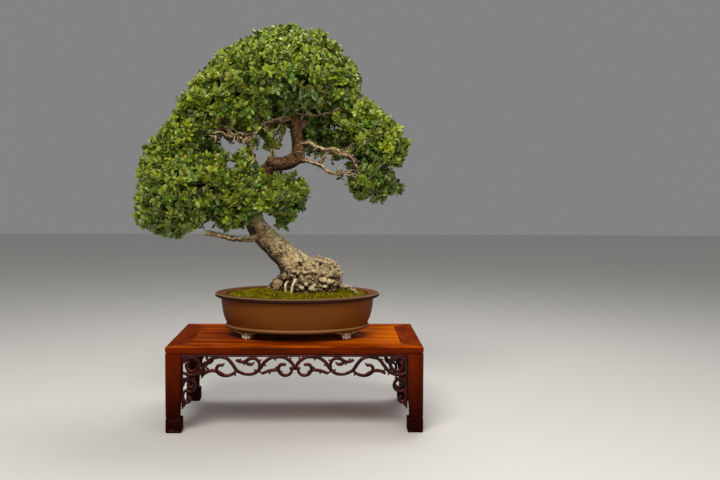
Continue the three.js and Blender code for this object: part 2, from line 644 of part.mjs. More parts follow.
function addTree() {
  addPiece('trunk_and_branches', geometryOf(tree), bark);
  const done = [];
  for (const cloud of FOLIAGE) {
    let solid = lump(cloud);
    for (const other of done) {
      solid = solid.subtract(lump(other, FOLIAGE_GAP));
    }
    done.push(cloud);
    addPiece(`foliage_${cloud.name}`, geometryOf(solid.subtract(roomForTree)), leaf);
  }
}

// The soil fills the pot round the roots, and the moss lies on it

const SOIL_INSET = 0.5; // from the pot's wall and floor
const SOIL_RADIUS = 197;
const MOSS_RADIUS = 198.5;
const SCREEN_ROOM = { beside: 1, under: 1, height: 7 }; // round a screen and its wire

function addSoilAndMoss() {
  const wall = POT_INSIDE.map(([radius, height]) => [radius - SOIL_INSET, height]);
  wall[0][1] += SOIL_INSET;
  const earth = turned([
    [0, POT_FLOOR_TOP + SOIL_INSET], ...wall, [SOIL_RADIUS - SOIL_INSET, SOIL_TOP], [0, SOIL_TOP],
  ]);
  let soil = solidOf(earth.scale(1, ovalness, 1).translate(0, 0, potBase));
  for (const x of [-DRAIN_SPREAD, DRAIN_SPREAD]) {
    const half = SCREEN_SIDE / 2 + SCREEN_ROOM.beside;
    const low = potBase + POT_FLOOR_TOP - SCREEN_ROOM.under;
    const niche = boxBetween([x - half, -half, low], [x + half, half, low + SCREEN_ROOM.height]);
    soil = soil.subtract(solidOf(niche));
  }
  addPiece('soil', geometryOf(soil.subtract(roomForTree)), soilBrown);
  const mound = turned([
    [0, SOIL_TOP + GAP], [SOIL_RADIUS, SOIL_TOP + GAP], [MOSS_RADIUS, MOSS_EDGE],
    [0.89 * MOSS_RADIUS, MOSS_EDGE + 5], [0.55 * MOSS_RADIUS, MOSS_CROWN - 3], [0, MOSS_CROWN + 1],
  ]);
  const position = mound.attributes.position;
  for (let i = 0; i < position.count; i += 1) {
    const x = position.getX(i);
    const y = position.getY(i);
    const z = position.getZ(i);
    if (z > MOSS_EDGE + 1) {
      position.setZ(i, z + MOSS_RIPPLE * Math.sin(x / 23 + 1) * Math.cos(y / 19));
    }
  }
  const moss = solidOf(mound.scale(1, ovalness, 1).translate(0, 0, potBase));
  addPiece('moss', geometryOf(moss.subtract(roomForTree)), mossGreen);
}

addStandTop();
addLegs();
addAprons();
addSpandrels();
addPot();
addDrainScreens();
addTree();
addSoilAndMoss();

// The origin: on the floor, under the middle of the bounding box
const bounds = new THREE.Box3().setFromObject(bonsai);
bonsai.position.x = -(bounds.min.x + bounds.max.x) / 2;
bonsai.position.y = -(bounds.min.y + bounds.max.y) / 2;

export default bonsai;
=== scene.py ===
import math

import bmesh
import bpy
import numpy as np
from bpy.props import FloatProperty, FloatVectorProperty, IntProperty, PointerProperty
from mathutils import Matrix, Vector, noise


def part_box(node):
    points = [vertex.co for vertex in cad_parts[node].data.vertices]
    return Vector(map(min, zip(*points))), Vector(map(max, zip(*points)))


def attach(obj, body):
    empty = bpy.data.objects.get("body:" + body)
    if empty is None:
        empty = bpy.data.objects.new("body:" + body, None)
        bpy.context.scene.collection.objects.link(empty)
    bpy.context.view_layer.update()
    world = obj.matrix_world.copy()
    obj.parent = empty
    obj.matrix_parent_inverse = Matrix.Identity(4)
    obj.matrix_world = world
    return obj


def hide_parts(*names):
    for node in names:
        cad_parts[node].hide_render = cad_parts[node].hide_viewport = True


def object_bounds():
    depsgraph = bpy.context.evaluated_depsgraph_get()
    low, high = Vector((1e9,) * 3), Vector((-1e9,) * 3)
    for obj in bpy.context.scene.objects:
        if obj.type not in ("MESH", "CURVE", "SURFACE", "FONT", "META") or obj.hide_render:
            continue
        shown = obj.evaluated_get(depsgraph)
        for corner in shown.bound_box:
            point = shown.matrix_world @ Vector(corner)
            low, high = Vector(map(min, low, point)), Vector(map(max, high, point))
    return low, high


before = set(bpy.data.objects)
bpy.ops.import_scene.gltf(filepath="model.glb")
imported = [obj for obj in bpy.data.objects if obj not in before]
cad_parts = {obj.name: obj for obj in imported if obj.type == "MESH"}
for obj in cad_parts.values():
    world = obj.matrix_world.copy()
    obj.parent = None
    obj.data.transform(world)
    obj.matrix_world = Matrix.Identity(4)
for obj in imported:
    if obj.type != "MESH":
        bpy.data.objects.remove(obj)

bl_info = {
    "name": "Live Oak Bonsai",
    "version": (1, 0, 0),
    "blender": (4, 5, 0),
    "location": "View3D > Sidebar > Bonsai",
    "description": "Builds the looks of a coast live oak bonsai, its clay pot and its carved stand",
    "category": "Object",
}

# The frame: everything below is drawn in millimetres about the middle of the stand, on the floor
CAD_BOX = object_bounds()
MM = 0.001
PANEL_LOW, PANEL_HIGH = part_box("stand_panel")
MIDDLE = np.array([(PANEL_LOW.x + PANEL_HIGH.x) / 2, (PANEL_LOW.y + PANEL_HIGH.y) / 2, 0.0])
UP = np.array([0.0, 0.0, 1.0])

# The stand
HALF_WIDTH = 340.0
HALF_DEPTH = 205.0
STAND_HEIGHT = 230.0
RAIL_WIDTH = 56.0
RAIL_BOTTOM = 210.0
TONGUE_LENGTH = 8.0
GAP = 0.3
LEG_SIDE = 41.0
LEG_WAIST = 35.0
HOOF_HEIGHT = 39.0
LEG_TOP = RAIL_BOTTOM - GAP
HOOF_CARVING_DEPTH = 0.2
APRON_SETBACK = 5.0
APRON_THICKNESS = 12.0
CARVING_TOP = 205.7
LEG_GAP = LEG_SIDE + GAP

# The pot
OVALNESS = 363 / 463
POT_BASE = STAND_HEIGHT + GAP
POT_FLOOR_BOTTOM = 24.0
POT_FLOOR_TOP = 36.0
DRAIN_RADIUS = 20.0
DRAIN_SPREAD = 95.0
FOOT_SPREAD = (132.0, 84.0)
FOOT_TURN = 0.45
FOOT_THICKNESS = 26.0


def colour(red, green, blue):
    """The linear colour of a display colour given from 0 to 255."""
    return tuple((part / 255) ** 2.2 for part in (red, green, blue))


def in_frame(points):
    """Millimetres about the stand's middle as metres in the frame."""
    return np.asarray(points, float) * MM + MIDDLE


# Settings that a user would change

def tone(name, description, *display):
    """A setting for a colour; display holds its default, each part from 0 to 255."""
    return FloatVectorProperty(name=name, description=description, default=colour(*display),
                               size=3, subtype="COLOR", min=0, max=1)


def amount(name, description, default, low, high):
    """A setting for a number between two limits."""
    return FloatProperty(name=name, description=description, default=default, min=low, max=high)


class StandSettings(bpy.types.PropertyGroup):
    wood_light: tone("Light wood", "The bright streaks of the polished top", 200, 92, 10)
    wood_dark: tone("Dark wood", "The dark streaks of the polished top", 110, 36, 4)
    # The colour of the painted highlight towards the panel's right end.
    panel_right_highlight: tone("Bright end", "The lighter wood at the panel's right end", 218, 108, 8)
    # leg_wood is the legs' stain and also the painted shade on the rails' upright faces.
    leg_wood: tone("Leg wood", "The red-brown stain of the legs and the rails' faces", 104, 36, 7)
    # The colour that the legs are painted darker with towards the floor, as shade.
    leg_foot: tone("Foot of a leg", "The dark stain that the legs end in", 34, 8, 6)
    carving: tone("Carving", "The dark red lacquer of the scrollwork", 50, 11, 8)
    stem_width: amount("Stem width", "Width of a scroll stem, in millimetres", 8.6, 3, 10)
    edge_round: amount("Edge rounding", "Radius of the top's outer edge, in millimetres", 4.0, 1, 8)


class PotSettings(bpy.types.PropertyGroup):
    clay: tone("Clay", "The body of the unglazed pot", 106, 61, 23)
    # clay_pale also colours the painted highlight on the rim's edge, the bead and the feet's carving.
    clay_pale: tone("Worn clay", "The worn rim, bead and feet", 160, 140, 98)
    segments: IntProperty(
        name="Segments", description="Steps round the pot's wall", default=144, min=48, max=256)
    waviness: amount("Waviness", "How far the hand-formed wall strays, in millimetres", 0.7, 0, 3)


class MossSettings(bpy.types.PropertyGroup):
    light: tone("Light moss", "The fresh tips of the moss", 158, 144, 10)
    dark: tone("Dark moss", "The hollows between the cushions", 36, 32, 4)
    tufts: IntProperty(
        name="Tufts", description="Number of fine moss shoots", default=9000, min=0, max=20000)
    cushion: amount("Cushion height", "Height of the moss cushions, in millimetres", 3.2, 0, 8)


class TreeSettings(bpy.types.PropertyGroup):
    # bark_pale also colours the painted light on the old bark's lit side, and bark_dark the painted
    # shade on its far side.
    bark_pale: tone("Pale bark", "The weathered ridges low on the trunk", 200, 164, 116)
    bark_red: tone("Red bark", "The younger bark of the upper trunk", 114, 76, 46)
    bark_dark: tone("Furrows", "The dark floor of the furrows", 26, 17, 10)
    grain_size: amount("Trunk detail", "Spacing of the trunk's mesh, in millimetres", 2.1, 1.5, 4)
    furrow_depth: amount("Furrow depth", "Depth of the bark's furrows, in millimetres", 3.4, 0, 6)


class LeafSettings(bpy.types.PropertyGroup):
    # The tint moves each leaf from dark to light: its own age and freshness, and also painted light
    # and shade.
    light: tone("Light leaf", "Young leaves in full light", 158, 172, 28)
    dark: tone("Dark leaf", "Older leaves", 40, 64, 8)
    under: tone("Underside", "The pale felted underside", 126, 140, 70)
    length: amount("Leaf length", "Length of a middling leaf, in millimetres", 17.6, 8, 30)
    spacing: amount(
        "Shoot spacing", "Cloud surface for each leafy shoot, in square millimetres", 200.0, 80, 900)


class StageSettings(bpy.types.PropertyGroup):
    floor: tone("Floor", "The plain pale floor", 226, 224, 220)
    key_power: amount(
        "Key light", "Power of the large soft light above the front, in watts", 76.0, 0, 500)
    fill_power: amount("Fill light", "Power of the soft light at the right, in watts", 18.0, 0, 500)
    lens: amount("Lens", "Focal length of the camera, in millimetres", 48.0, 20, 200)


SETTINGS = {
    "bonsai_stand": StandSettings,
    "bonsai_pot": PotSettings,
    "bonsai_moss": MossSettings,
    "bonsai_tree": TreeSettings,
    "bonsai_leaves": LeafSettings,
    "bonsai_stage": StageSettings,
}


# Meshes from points and faces

class Shape:
    """Points and faces gathered for one mesh, with named values that belong to the points."""

    def __init__(self, *names):
        self.points = []
        self.faces = []
        self.values = {name: [] for name in names}
        self.count = 0

    def add(self, points, faces, **values):
        """Adds a closed form. Each value is one number, or one for each of its points."""
        points = np.asarray(points, float)
        self.points.append(points)
        if isinstance(faces, np.ndarray):
            self.faces.extend((faces + self.count).tolist())
        else:
            self.faces.extend([tuple(corner + self.count for corner in face) for face in faces])
        for name, gathered in self.values.items():
            gathered.append(np.broadcast_to(np.asarray(values.get(name, 0.0), float), len(points)))
        self.count += len(points)
        return self

    def mesh(self, name):
        """The gathered form as a Blender mesh in the frame."""
        made = bpy.data.meshes.new(name)
        made.from_pydata(in_frame(np.concatenate(self.points)).tolist(), [], self.faces)
        store_values(made, **{title: np.concatenate(part) for title, part in self.values.items()})
        made.validate()
        return made

    def piece(self, name, material, slot, replaced, crease=None):
        """The gathered form as a finished piece that rides on the part."""
        finish_piece(self.mesh(name), name, material, replaced, crease)


def store_values(mesh, **values):
    """Keeps named values on a mesh's points."""
    for name, numbers in values.items():
        store = mesh.attributes.new(name, "FLOAT", "POINT")
        store.data.foreach_set("value", np.asarray(numbers, np.float32))


def placed(name, data):
    """A new object in the scene."""
    made = bpy.data.objects.new(name, data)
    bpy.context.scene.collection.objects.link(made)
    return made


def finish_piece(mesh, name, material, replaced, crease=None, outwards=True):
    """Puts a mesh in the scene as a piece of the object. Edges sharper than crease stay sharp.
    Without outwards, the faces keep the side that they were laid with."""
    if outwards:
        turn_faces_out(mesh)
    mesh.shade_smooth()
    if crease is not None:
        mesh.set_sharp_from_angle(angle=math.radians(crease))
    mesh.materials.append(material)
    piece = placed(name, mesh)
    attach(piece, "root")
    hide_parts(*replaced)


def turn_faces_out(mesh):
    """Turns each closed form's faces outwards."""
    work = bmesh.new()
    work.from_mesh(mesh)
    bmesh.ops.recalc_face_normals(work, faces=work.faces)
    work.to_mesh(mesh)
    work.free()


def circle(steps):
    """Even steps round a circle, in radians."""
    return np.linspace(0, 2 * math.pi, steps, endpoint=False)


def grid_faces(rows, columns):
    """Four-sided faces between rows of points that close on themselves."""
    row = np.arange(rows - 1)[:, None] * columns
    column = np.arange(columns)[None, :]
    beside = (column + 1) % columns
    corners = [row + column, row + beside, row + columns + beside, row + columns + column]
    return np.stack([corner.ravel() for corner in corners], axis=1).tolist()


def ring_stack(rings):
    """A closed form from rings of points, with a flat end at each end of the stack."""
    rings = np.asarray(rings, float)
    rows, columns = rings.shape[:2]
    faces = grid_faces(rows, columns)
    last = (rows - 1) * columns
    faces.append(list(range(columns))[::-1])
    faces.append([last + column for column in range(columns)])
    return rings.reshape(-1, 3), faces


def smooth_path(points, step, space=3):
    """Points about step apart on a smooth curve through the given ones. The first space
    numbers of a point are its place, and the rest go along with them."""
    points = np.array(points, float)
    chords = np.linalg.norm(np.diff(points[:, :space], axis=0), axis=1)
    stations = np.concatenate([[0.0], np.cumsum(chords)])
    slopes = np.gradient(points, stations, axis=0)
    count = max(2, int(round(stations[-1] / step)) + 1)
    at = np.linspace(0, stations[-1], count)
    before = np.clip(np.searchsorted(stations, at, side="right") - 1, 0, len(points) - 2)
    span = (stations[before + 1] - stations[before])[:, None]
    t = (at - stations[before])[:, None] / span
    start = (2 * t ** 3 - 3 * t ** 2 + 1) * points[before]
    leaving = (t ** 3 - 2 * t ** 2 + t) * span * slopes[before]
    end = (3 * t ** 2 - 2 * t ** 3) * points[before + 1]
    arriving = (t ** 3 - t ** 2) * span * slopes[before + 1]
    return start + leaving + end + arriving


def unit(vectors):
    """The vectors at length one."""
    vectors = np.asarray(vectors, float)
    return vectors / np.maximum(np.linalg.norm(vectors, axis=-1, keepdims=True), 1e-9)


def path_frames(path):
    """Directions along a path and two across it, which turn with it and never twist."""
    along = unit(np.gradient(path, axis=0))
    least = np.argmin(np.abs(along[0]))
    across = np.eye(3)[least]
    sides = []
    for direction in along:
        across = unit(across - direction * (across @ direction))
        sides.append(across)
    sides = np.array(sides)
    return along, sides, np.cross(along, sides)


def tube_rings(path, radii, sides):
    """Rings of points round a path, with one radius for each."""
    path = np.asarray(path, float)[:, :3]
    first, second = path_frames(path)[1:]
    turn = circle(sides)
    spoke = (np.cos(turn)[None, :, None] * first[:, None, :]
             + np.sin(turn)[None, :, None] * second[:, None, :])
    return path[:, None, :] + np.asarray(radii, float)[:, None, None] * spoke


def tube(path, radii, sides):
    """A closed round bar along a path."""
    return ring_stack(tube_rings(path, radii, sides))


def ball(centre, size, rings, sides):
    """A closed ellipsoid; size holds its three half sizes, or one number."""
    tilt = np.linspace(0.04, math.pi - 0.04, rings)[:, None]
    turn = circle(sides)[None, :]
    around = np.stack([
        np.sin(tilt) * np.cos(turn), np.sin(tilt) * np.sin(turn), -np.cos(tilt) * np.ones(sides),
    ], axis=2)
    return ring_stack(np.asarray(centre, float) + around * np.asarray(size, float))


def sway(points, size, *seeds):
    """Smooth noise in three directions, each from its own seed."""
    return np.stack([wander(points, size, seed) for seed in seeds], axis=1)


def turned(profile, segments, stray=None):
    """A turned form from a profile of (radius, height), drawn out to the pot's oval. stray
    moves each point outwards by a distance that depends on its turn and height."""
    profile = np.asarray(profile, float)
    turn = circle(segments)
    radius = profile[:, :1] * np.ones(segments)
    if stray is not None:
        radius = radius + stray(turn[None, :], profile[:, 1:2])
    return ring_stack(np.stack([
        radius * np.cos(turn),
        radius * np.sin(turn) * OVALNESS,
        profile[:, 1:2] * np.ones(segments),
    ], axis=2))


def wander(points, size, seed=0.0):
    """Smooth noise from about -1 to 1 at each point, with waves about size long."""
    shift = Vector((seed * 17.3, seed * 5.1, seed * 9.7))
    return np.array([noise.noise(Vector(point) / size + shift) for point in points])


# Shader nodes

class Nodes:
    """Short ways to add and join nodes in one node tree."""

    def __init__(self, tree):
        self.tree = tree

    def add(self, kind, inputs=None, **settings):
        """A node with the given settings; inputs holds values or outputs by socket."""
        node = self.tree.nodes.new(kind)
        for name, value in settings.items():
            setattr(node, name, value)
        for socket, value in (inputs or {}).items():
            self.feed(node.inputs[socket], value)
        return node

    def feed(self, socket, value):
        """Joins an output to a socket, or sets the socket to a value."""
        if isinstance(value, bpy.types.NodeSocket):
            self.tree.links.new(value, socket)
            return
        if getattr(socket, "type", "") == "RGBA" and len(value) == 3:
            value = (*value, 1.0)
        socket.default_value = value

    def math(self, operation, first, second=0.0, clamp=False):
        """The result of a number operation."""
        node = self.add("ShaderNodeMath", {0: first, 1: second}, operation=operation,
                        use_clamp=clamp)
        return node.outputs[0]

    def times(self, first, second, clamp=False):
        """The product of two numbers."""
        return self.math("MULTIPLY", first, second, clamp)

    def mix(self, factor, first, second):
        """Two colours mixed by a factor."""
        inputs = {"Factor": factor, 6: first, 7: second}
        return self.add("ShaderNodeMix", inputs, data_type="RGBA").outputs[2]

    def layered(self, base, *layers):
        """Colours laid over a base in turn. A layer is (colour, where it lies, strength)."""
        for colour_over, where, strength in layers:
            if strength != 1:
                where = self.times(where, strength)
            base = self.mix(where, base, colour_over)
        return base

    def ramp(self, value, low, high, start=0.0, end=1.0):
        """A value mapped from low..high to start..end, held at both ends."""
        node = self.add("ShaderNodeMapRange", {
            "Value": value, "From Min": low, "From Max": high, "To Min": start, "To Max": end})
        return node.outputs["Result"]

    def noise(self, vector, scale, detail, roughness=0.55, distortion=0.0):
        """Noise from 0 to 1."""
        node = self.add("ShaderNodeTexNoise", {
            "Vector": vector, "Scale": scale, "Detail": detail,
            "Roughness": roughness, "Distortion": distortion})
        return node.outputs["Fac"]

    def value(self, name):
        """A named value that belongs to the mesh's points."""
        return self.add("ShaderNodeAttribute", attribute_name=name).outputs["Fac"]

    def place(self, stretch=(1.0, 1.0, 1.0)):
        """The place on the object in metres, stretched along each axis."""
        where = self.add("ShaderNodeTexCoord").outputs["Object"]
        return self.add(
            "ShaderNodeVectorMath", {0: where, 1: stretch}, operation="MULTIPLY").outputs[0]

    def axis(self, name):
        """The place along one axis of the object, in metres."""
        return self.add("ShaderNodeSeparateXYZ", {"Vector": self.place()}).outputs[name]

    def group(self, tree, inputs=None):
        """The outputs of a node group, with its own values."""
        return self.add("ShaderNodeGroup", inputs, node_tree=tree).outputs


SOCKET_TYPES = {"value": "NodeSocketFloat", "vector": "NodeSocketVector", "colour": "NodeSocketColor"}


def node_group(name, inputs, outputs):
    """An empty node group with its sockets: its nodes, what it is given and what it gives."""
    tree = bpy.data.node_groups.new(name, "ShaderNodeTree")
    for title, (kind, default) in inputs.items():
        socket = tree.interface.new_socket(title, in_out="INPUT", socket_type=SOCKET_TYPES[kind])
        socket.default_value = default
    for title, kind in outputs.items():
        tree.interface.new_socket(title, in_out="OUTPUT", socket_type=SOCKET_TYPES[kind])
    nodes = Nodes(tree)
    return nodes, nodes.add("NodeGroupInput").outputs, nodes.add("NodeGroupOutput").inputs


def built_once(make):
    """A function that builds a node group when it is first called, and then gives it again."""
    kept = []

    def group():
        if not kept:
            kept.append(make())
        return kept[0]
    return group


@built_once
def grain_group():
    """Wood grain: long wavering streaks, broad darker patches and fine short pores."""
    nodes, given, result = node_group(
        "Wood grain",
        {"Stretch": ("vector", (1.0, 1.0, 1.0)), "Figure": ("value", 1.0)},
        {"Grain": "value", "Patches": "value", "Pores": "value"})
    where = nodes.add("ShaderNodeTexCoord").outputs["Object"]
    along = nodes.add("ShaderNodeVectorMath", {0: where, 1: given["Stretch"]}, operation="MULTIPLY")
    along = along.outputs[0]
    bands = nodes.add("ShaderNodeTexWave", {
        "Vector": along, "Scale": 9.0, "Distortion": 7.0, "Detail": 4.0, "Detail Scale": 1.3,
        "Detail Roughness": 0.6}, wave_type="BANDS", bands_direction="DIAGONAL")
    streaks = nodes.noise(along, 55.0, 6.0, 0.65, 0.4)
    mixed = nodes.times(nodes.math("SUBTRACT", bands.outputs["Fac"], 0.5), 0.45)
    mixed = nodes.times(mixed, given["Figure"])
    mixed = nodes.math("ADD", mixed, nodes.ramp(streaks, 0.3, 0.7))
    nodes.feed(result["Grain"], nodes.math("ADD", mixed, 0.0, clamp=True))
    nodes.feed(result["Patches"], nodes.ramp(nodes.noise(where, 7.0, 3.0), 0.35, 0.68))
    pores = nodes.noise(along, 420.0, 2.0, 0.5)
    nodes.feed(result["Pores"], nodes.ramp(pores, 0.62, 0.72))
    return nodes.tree


@built_once
def speckle_group():
    """Small round flecks with soft edges."""
    nodes, given, result = node_group(
        "Speckle",
        {"Scale": ("value", 200.0), "Amount": ("value", 0.4)},
        {"Flecks": "value", "Mottle": "value"})
    where = nodes.add("ShaderNodeTexCoord").outputs["Object"]
    fine = nodes.noise(where, given["Scale"], 3.0, 0.6)
    edge = nodes.math("SUBTRACT", 0.78, nodes.times(given["Amount"], 0.4))
    flecks = nodes.times(nodes.math("SUBTRACT", fine, edge), 12.0, clamp=True)
    nodes.feed(result["Flecks"], flecks)
    broad = nodes.times(given["Scale"], 0.12)
    nodes.feed(result["Mottle"], nodes.ramp(nodes.noise(where, broad, 5.0, 0.6), 0.3, 0.7))
    return nodes.tree


@built_once
def wear_and_light_group():
    """Masks from the surface's shape: edges that are rubbed paler, hollows, and what faces up or down,
    which the materials use for painted light and shade.
    """
    nodes, given, result = node_group(
        "Wear and light",
        {"Edge sharpness": ("value", 12.0)},
        {"Edges": "value", "Hollows": "value", "Facing up": "value", "Facing down": "value"})
    surface = nodes.add("ShaderNodeNewGeometry").outputs
    turn = nodes.math("SUBTRACT", surface["Pointiness"], 0.5)
    sharp = nodes.times(turn, given["Edge sharpness"])
    nodes.feed(result["Edges"], nodes.math("ADD", sharp, 0.0, clamp=True))
    nodes.feed(result["Hollows"], nodes.times(sharp, -1.0, clamp=True))
    height = nodes.add("ShaderNodeSeparateXYZ", {"Vector": surface["Normal"]}).outputs["Z"]
    nodes.feed(result["Facing up"], nodes.ramp(height, 0.1, 0.9))
    nodes.feed(result["Facing down"], nodes.ramp(height, -0.6, 0.1, 1.0, 0.0))
    return nodes.tree


def new_material(name, **constants):
    """A material with its shader; constants are set on the shader's own sockets."""
    made = bpy.data.materials.new(name)
    made.use_nodes = True
    shader = made.node_tree.nodes["Principled BSDF"]
    for title, value in constants.items():
        shader.inputs[title.replace("_", " ")].default_value = value
    return made, Nodes(made.node_tree), shader


def surface(nodes, shader, base, gleam, roughness, height, distance, strength):
    """Gives a shader its colour, a roughness that follows gleam between two limits, and fine
    relief from a height between 0 and 1, with its size in metres and its strength."""
    bump = nodes.add("ShaderNodeBump", {"Height": height, "Distance": distance, "Strength": strength})
    nodes.feed(shader.inputs["Base Color"], base)
    nodes.feed(shader.inputs["Roughness"], nodes.ramp(gleam, 0, 1, *roughness))
    nodes.feed(shader.inputs["Normal"], bump.outputs["Normal"])


def lacquered_wood(name, stretch, light, dark, patch=0.35, figure=1.0, face=None, foot=None,
                   bright=None):
    """Polished wood. stretch squeezes the grain along its own direction. face is a darker colour
    painted on what stands upright as shade, foot a darker painted shade that it turns to towards the
    floor, and bright a painted highlight that it turns to towards its right end."""
    made, nodes, shader = new_material(
        name, Specular_IOR_Level=0.0, Coat_Weight=0.05, Coat_Roughness=0.14)
    grain = nodes.group(grain_group(), {"Stretch": stretch, "Figure": figure})
    wear_and_light = nodes.group(wear_and_light_group())
    base = nodes.layered(dark, (light, grain["Grain"], 1), (dark, grain["Patches"], patch))
    if bright is not None:
        # Painted highlight: the wood lightens towards its right end.
        streaky = nodes.ramp(grain["Grain"], 0, 1, 0.4, 1.0)
        base = nodes.layered(base, (bright, nodes.ramp(nodes.axis("X"), 0.08, 0.34), streaky))
    if face is not None:
        # Painted shade: what stands upright takes the darker face colour, and only what faces up keeps
        # the grain's own colour.
        shade = tuple(part * 0.45 for part in face)
        upright = nodes.mix(grain["Grain"], shade, face)
        base = nodes.mix(wear_and_light["Facing up"], upright, base)
    if foot is not None:
        # Painted shade: the legs darken towards the floor.
        base = nodes.mix(nodes.ramp(nodes.axis("Z"), 0.04, 0.2, 0.95, 0.0), base, foot)
    base = nodes.layered(base, (dark_mix(dark, (0, 0, 0), 0.5), grain["Pores"], 0.4))
    surface(nodes, shader, base, grain["Patches"], (0.26, 0.42), grain["Grain"], 0.0003, 0.25)
    return made


def carved_lacquer(settings):
    """The scrollwork: near-black red lacquer, with a painted red highlight on what faces up."""
    made, nodes, shader = new_material(
        "carved wood", Specular_IOR_Level=0.1, Coat_Weight=0.14, Coat_Roughness=0.12)
    wear_and_light = nodes.group(wear_and_light_group())
    mottle = nodes.group(speckle_group(), {"Scale": 260.0, "Amount": 0.5})["Mottle"]
    deep = tuple(part * 0.1 for part in settings.carving)
    # The red on what faces up is a painted highlight on the tops of the stems.
    base = nodes.layered(
        deep,
        (settings.carving, mottle, 1),
        (colour(150, 62, 40), wear_and_light["Facing up"], nodes.ramp(mottle, 0, 1, 0.15, 0.7)))
    surface(nodes, shader, base, mottle, (0.28, 0.46), mottle, 0.0004, 0.35)
    return made


def fired_clay(settings):
    """Unglazed brown clay. The worn value marks the rim, the bead and the feet, where the clay is worn
    pale and also gets a painted highlight, and lip the painted shade on the outer face of the lip."""
    made, nodes, shader = new_material("fired clay", Specular_IOR_Level=0.08)
    speckle = nodes.group(speckle_group(), {"Scale": 900.0, "Amount": 0.35})
    wear_and_light = nodes.group(wear_and_light_group(), {"Edge sharpness": 10.0})
    broad = nodes.ramp(nodes.noise(nodes.place((1.0, 1.0, 2.5)), 9.0, 3.0), 0.4, 0.75)
    worn = nodes.value("worn")
    patchy = nodes.ramp(speckle["Mottle"], 0, 1, 0.6, 1.0)
    # The pale worn clay also carries painted highlights on the rim, bead and feet.
    base = nodes.layered(
        settings.clay,
        (colour(122, 58, 20), speckle["Mottle"], 0.3),
        (colour(80, 50, 26), broad, 0.35),
        (settings.clay_pale, nodes.times(worn, patchy, clamp=True), 1),
        (colour(204, 184, 168), nodes.ramp(worn, 0.95, 1.1), 1),
        # Painted shade on the lip's outer face.
        (colour(52, 32, 26), nodes.value("lip"), 1),
        (colour(40, 24, 14), wear_and_light["Hollows"], 0.6),
        (colour(56, 34, 20), speckle["Flecks"], 0.35))
    grit = nodes.noise(nodes.place(), 1600.0, 2.0)
    surface(nodes, shader, base, speckle["Mottle"], (0.48, 0.64), grit, 0.0003, 0.35)
    return made


def weathered_bark(settings):
    """Bark. The crack value darkens furrows and also holds painted shade on the side away from the
    light, pale whitens the old wood and also holds painted light on its lit side, red warms the young
    bark, and cut marks sawn and dead wood and also painted cream flecks on the lit side. What faces up
    gets a painted highlight and what faces down painted shade."""
    made, nodes, shader = new_material("oak bark", Specular_IOR_Level=0.12)
    speckle = nodes.group(speckle_group(), {"Scale": 420.0, "Amount": 0.5})
    wear_and_light = nodes.group(wear_and_light_group(), {"Edge sharpness": 11.0})
    pale = nodes.value("pale")
    patches = nodes.ramp(nodes.noise(nodes.place(), 90.0, 4.0, 0.68), 0.44, 0.6, 0.0, 0.8)
    flakes = nodes.ramp(nodes.noise(nodes.place(), 260.0, 3.0, 0.6), 0.5, 0.6)
    mossy = nodes.ramp(nodes.noise(nodes.place(), 34.0, 3.0), 0.5, 0.6, 0.0, 0.6)
    # sunny is a painted highlight on what faces up where the bark is pale.
    sunny = nodes.times(wear_and_light["Facing up"], pale)
    dark = nodes.math("MAXIMUM", nodes.value("crack"), wear_and_light["Hollows"])
    base = nodes.layered(
        colour(108, 84, 50),
        (settings.bark_red, nodes.value("red"), 1),
        (settings.bark_pale, pale, 1),
        (colour(66, 47, 28), patches, 1),
        (colour(246, 212, 160), flakes, nodes.ramp(pale, 0.0, 0.8, 0.22, 0.6)),
        (colour(255, 228, 178), sunny, 0.5),
        (colour(186, 178, 84), mossy, sunny),
        (colour(252, 230, 186), wear_and_light["Edges"], nodes.ramp(pale, 0.1, 0.8, 0.1, 0.7)),
        (colour(246, 230, 186), nodes.value("cut"), 1),
        # Painted shade on what faces down.
        (colour(40, 28, 18), wear_and_light["Facing down"], 0.7),
        (settings.bark_dark, dark, 0.95),
        (colour(48, 34, 22), speckle["Flecks"], 0.5))
    rough = nodes.noise(nodes.place(), 700.0, 4.0)
    surface(nodes, shader, base, speckle["Mottle"], (0.72, 0.92), rough, 0.0014, 0.7)
    return made


def leaf_surface(settings):
    """Leathery leaves: each has its own tint, which also holds painted light and shade, a pale midrib,
    a waxy gleam and a felted underside. across runs from 0 on the midrib to 1 at the edge."""
    made, nodes, shader = new_material("oak leaf", Specular_IOR_Level=0.5)
    mottle = nodes.group(speckle_group(), {"Scale": 700.0, "Amount": 0.4})["Mottle"]
    behind = nodes.add("ShaderNodeNewGeometry").outputs["Backfacing"]
    base = nodes.layered(
        settings.dark,
        (settings.light, nodes.value("tint"), 1),
        (colour(72, 140, 12), nodes.value("lush"), 0.75),
        (colour(138, 160, 100), nodes.value("blue"), 0.6),
        (colour(150, 120, 30), nodes.value("old"), 0.85),
        (colour(184, 196, 96), nodes.ramp(nodes.value("across"), 0.0, 0.16, 0.4, 0.0), 1),
        (settings.dark, mottle, 0.25),
        (settings.under, behind, 0.5))
    surface(nodes, shader, base, mottle, (0.3, 0.46), mottle, 0.0005, 0.4)
    return made


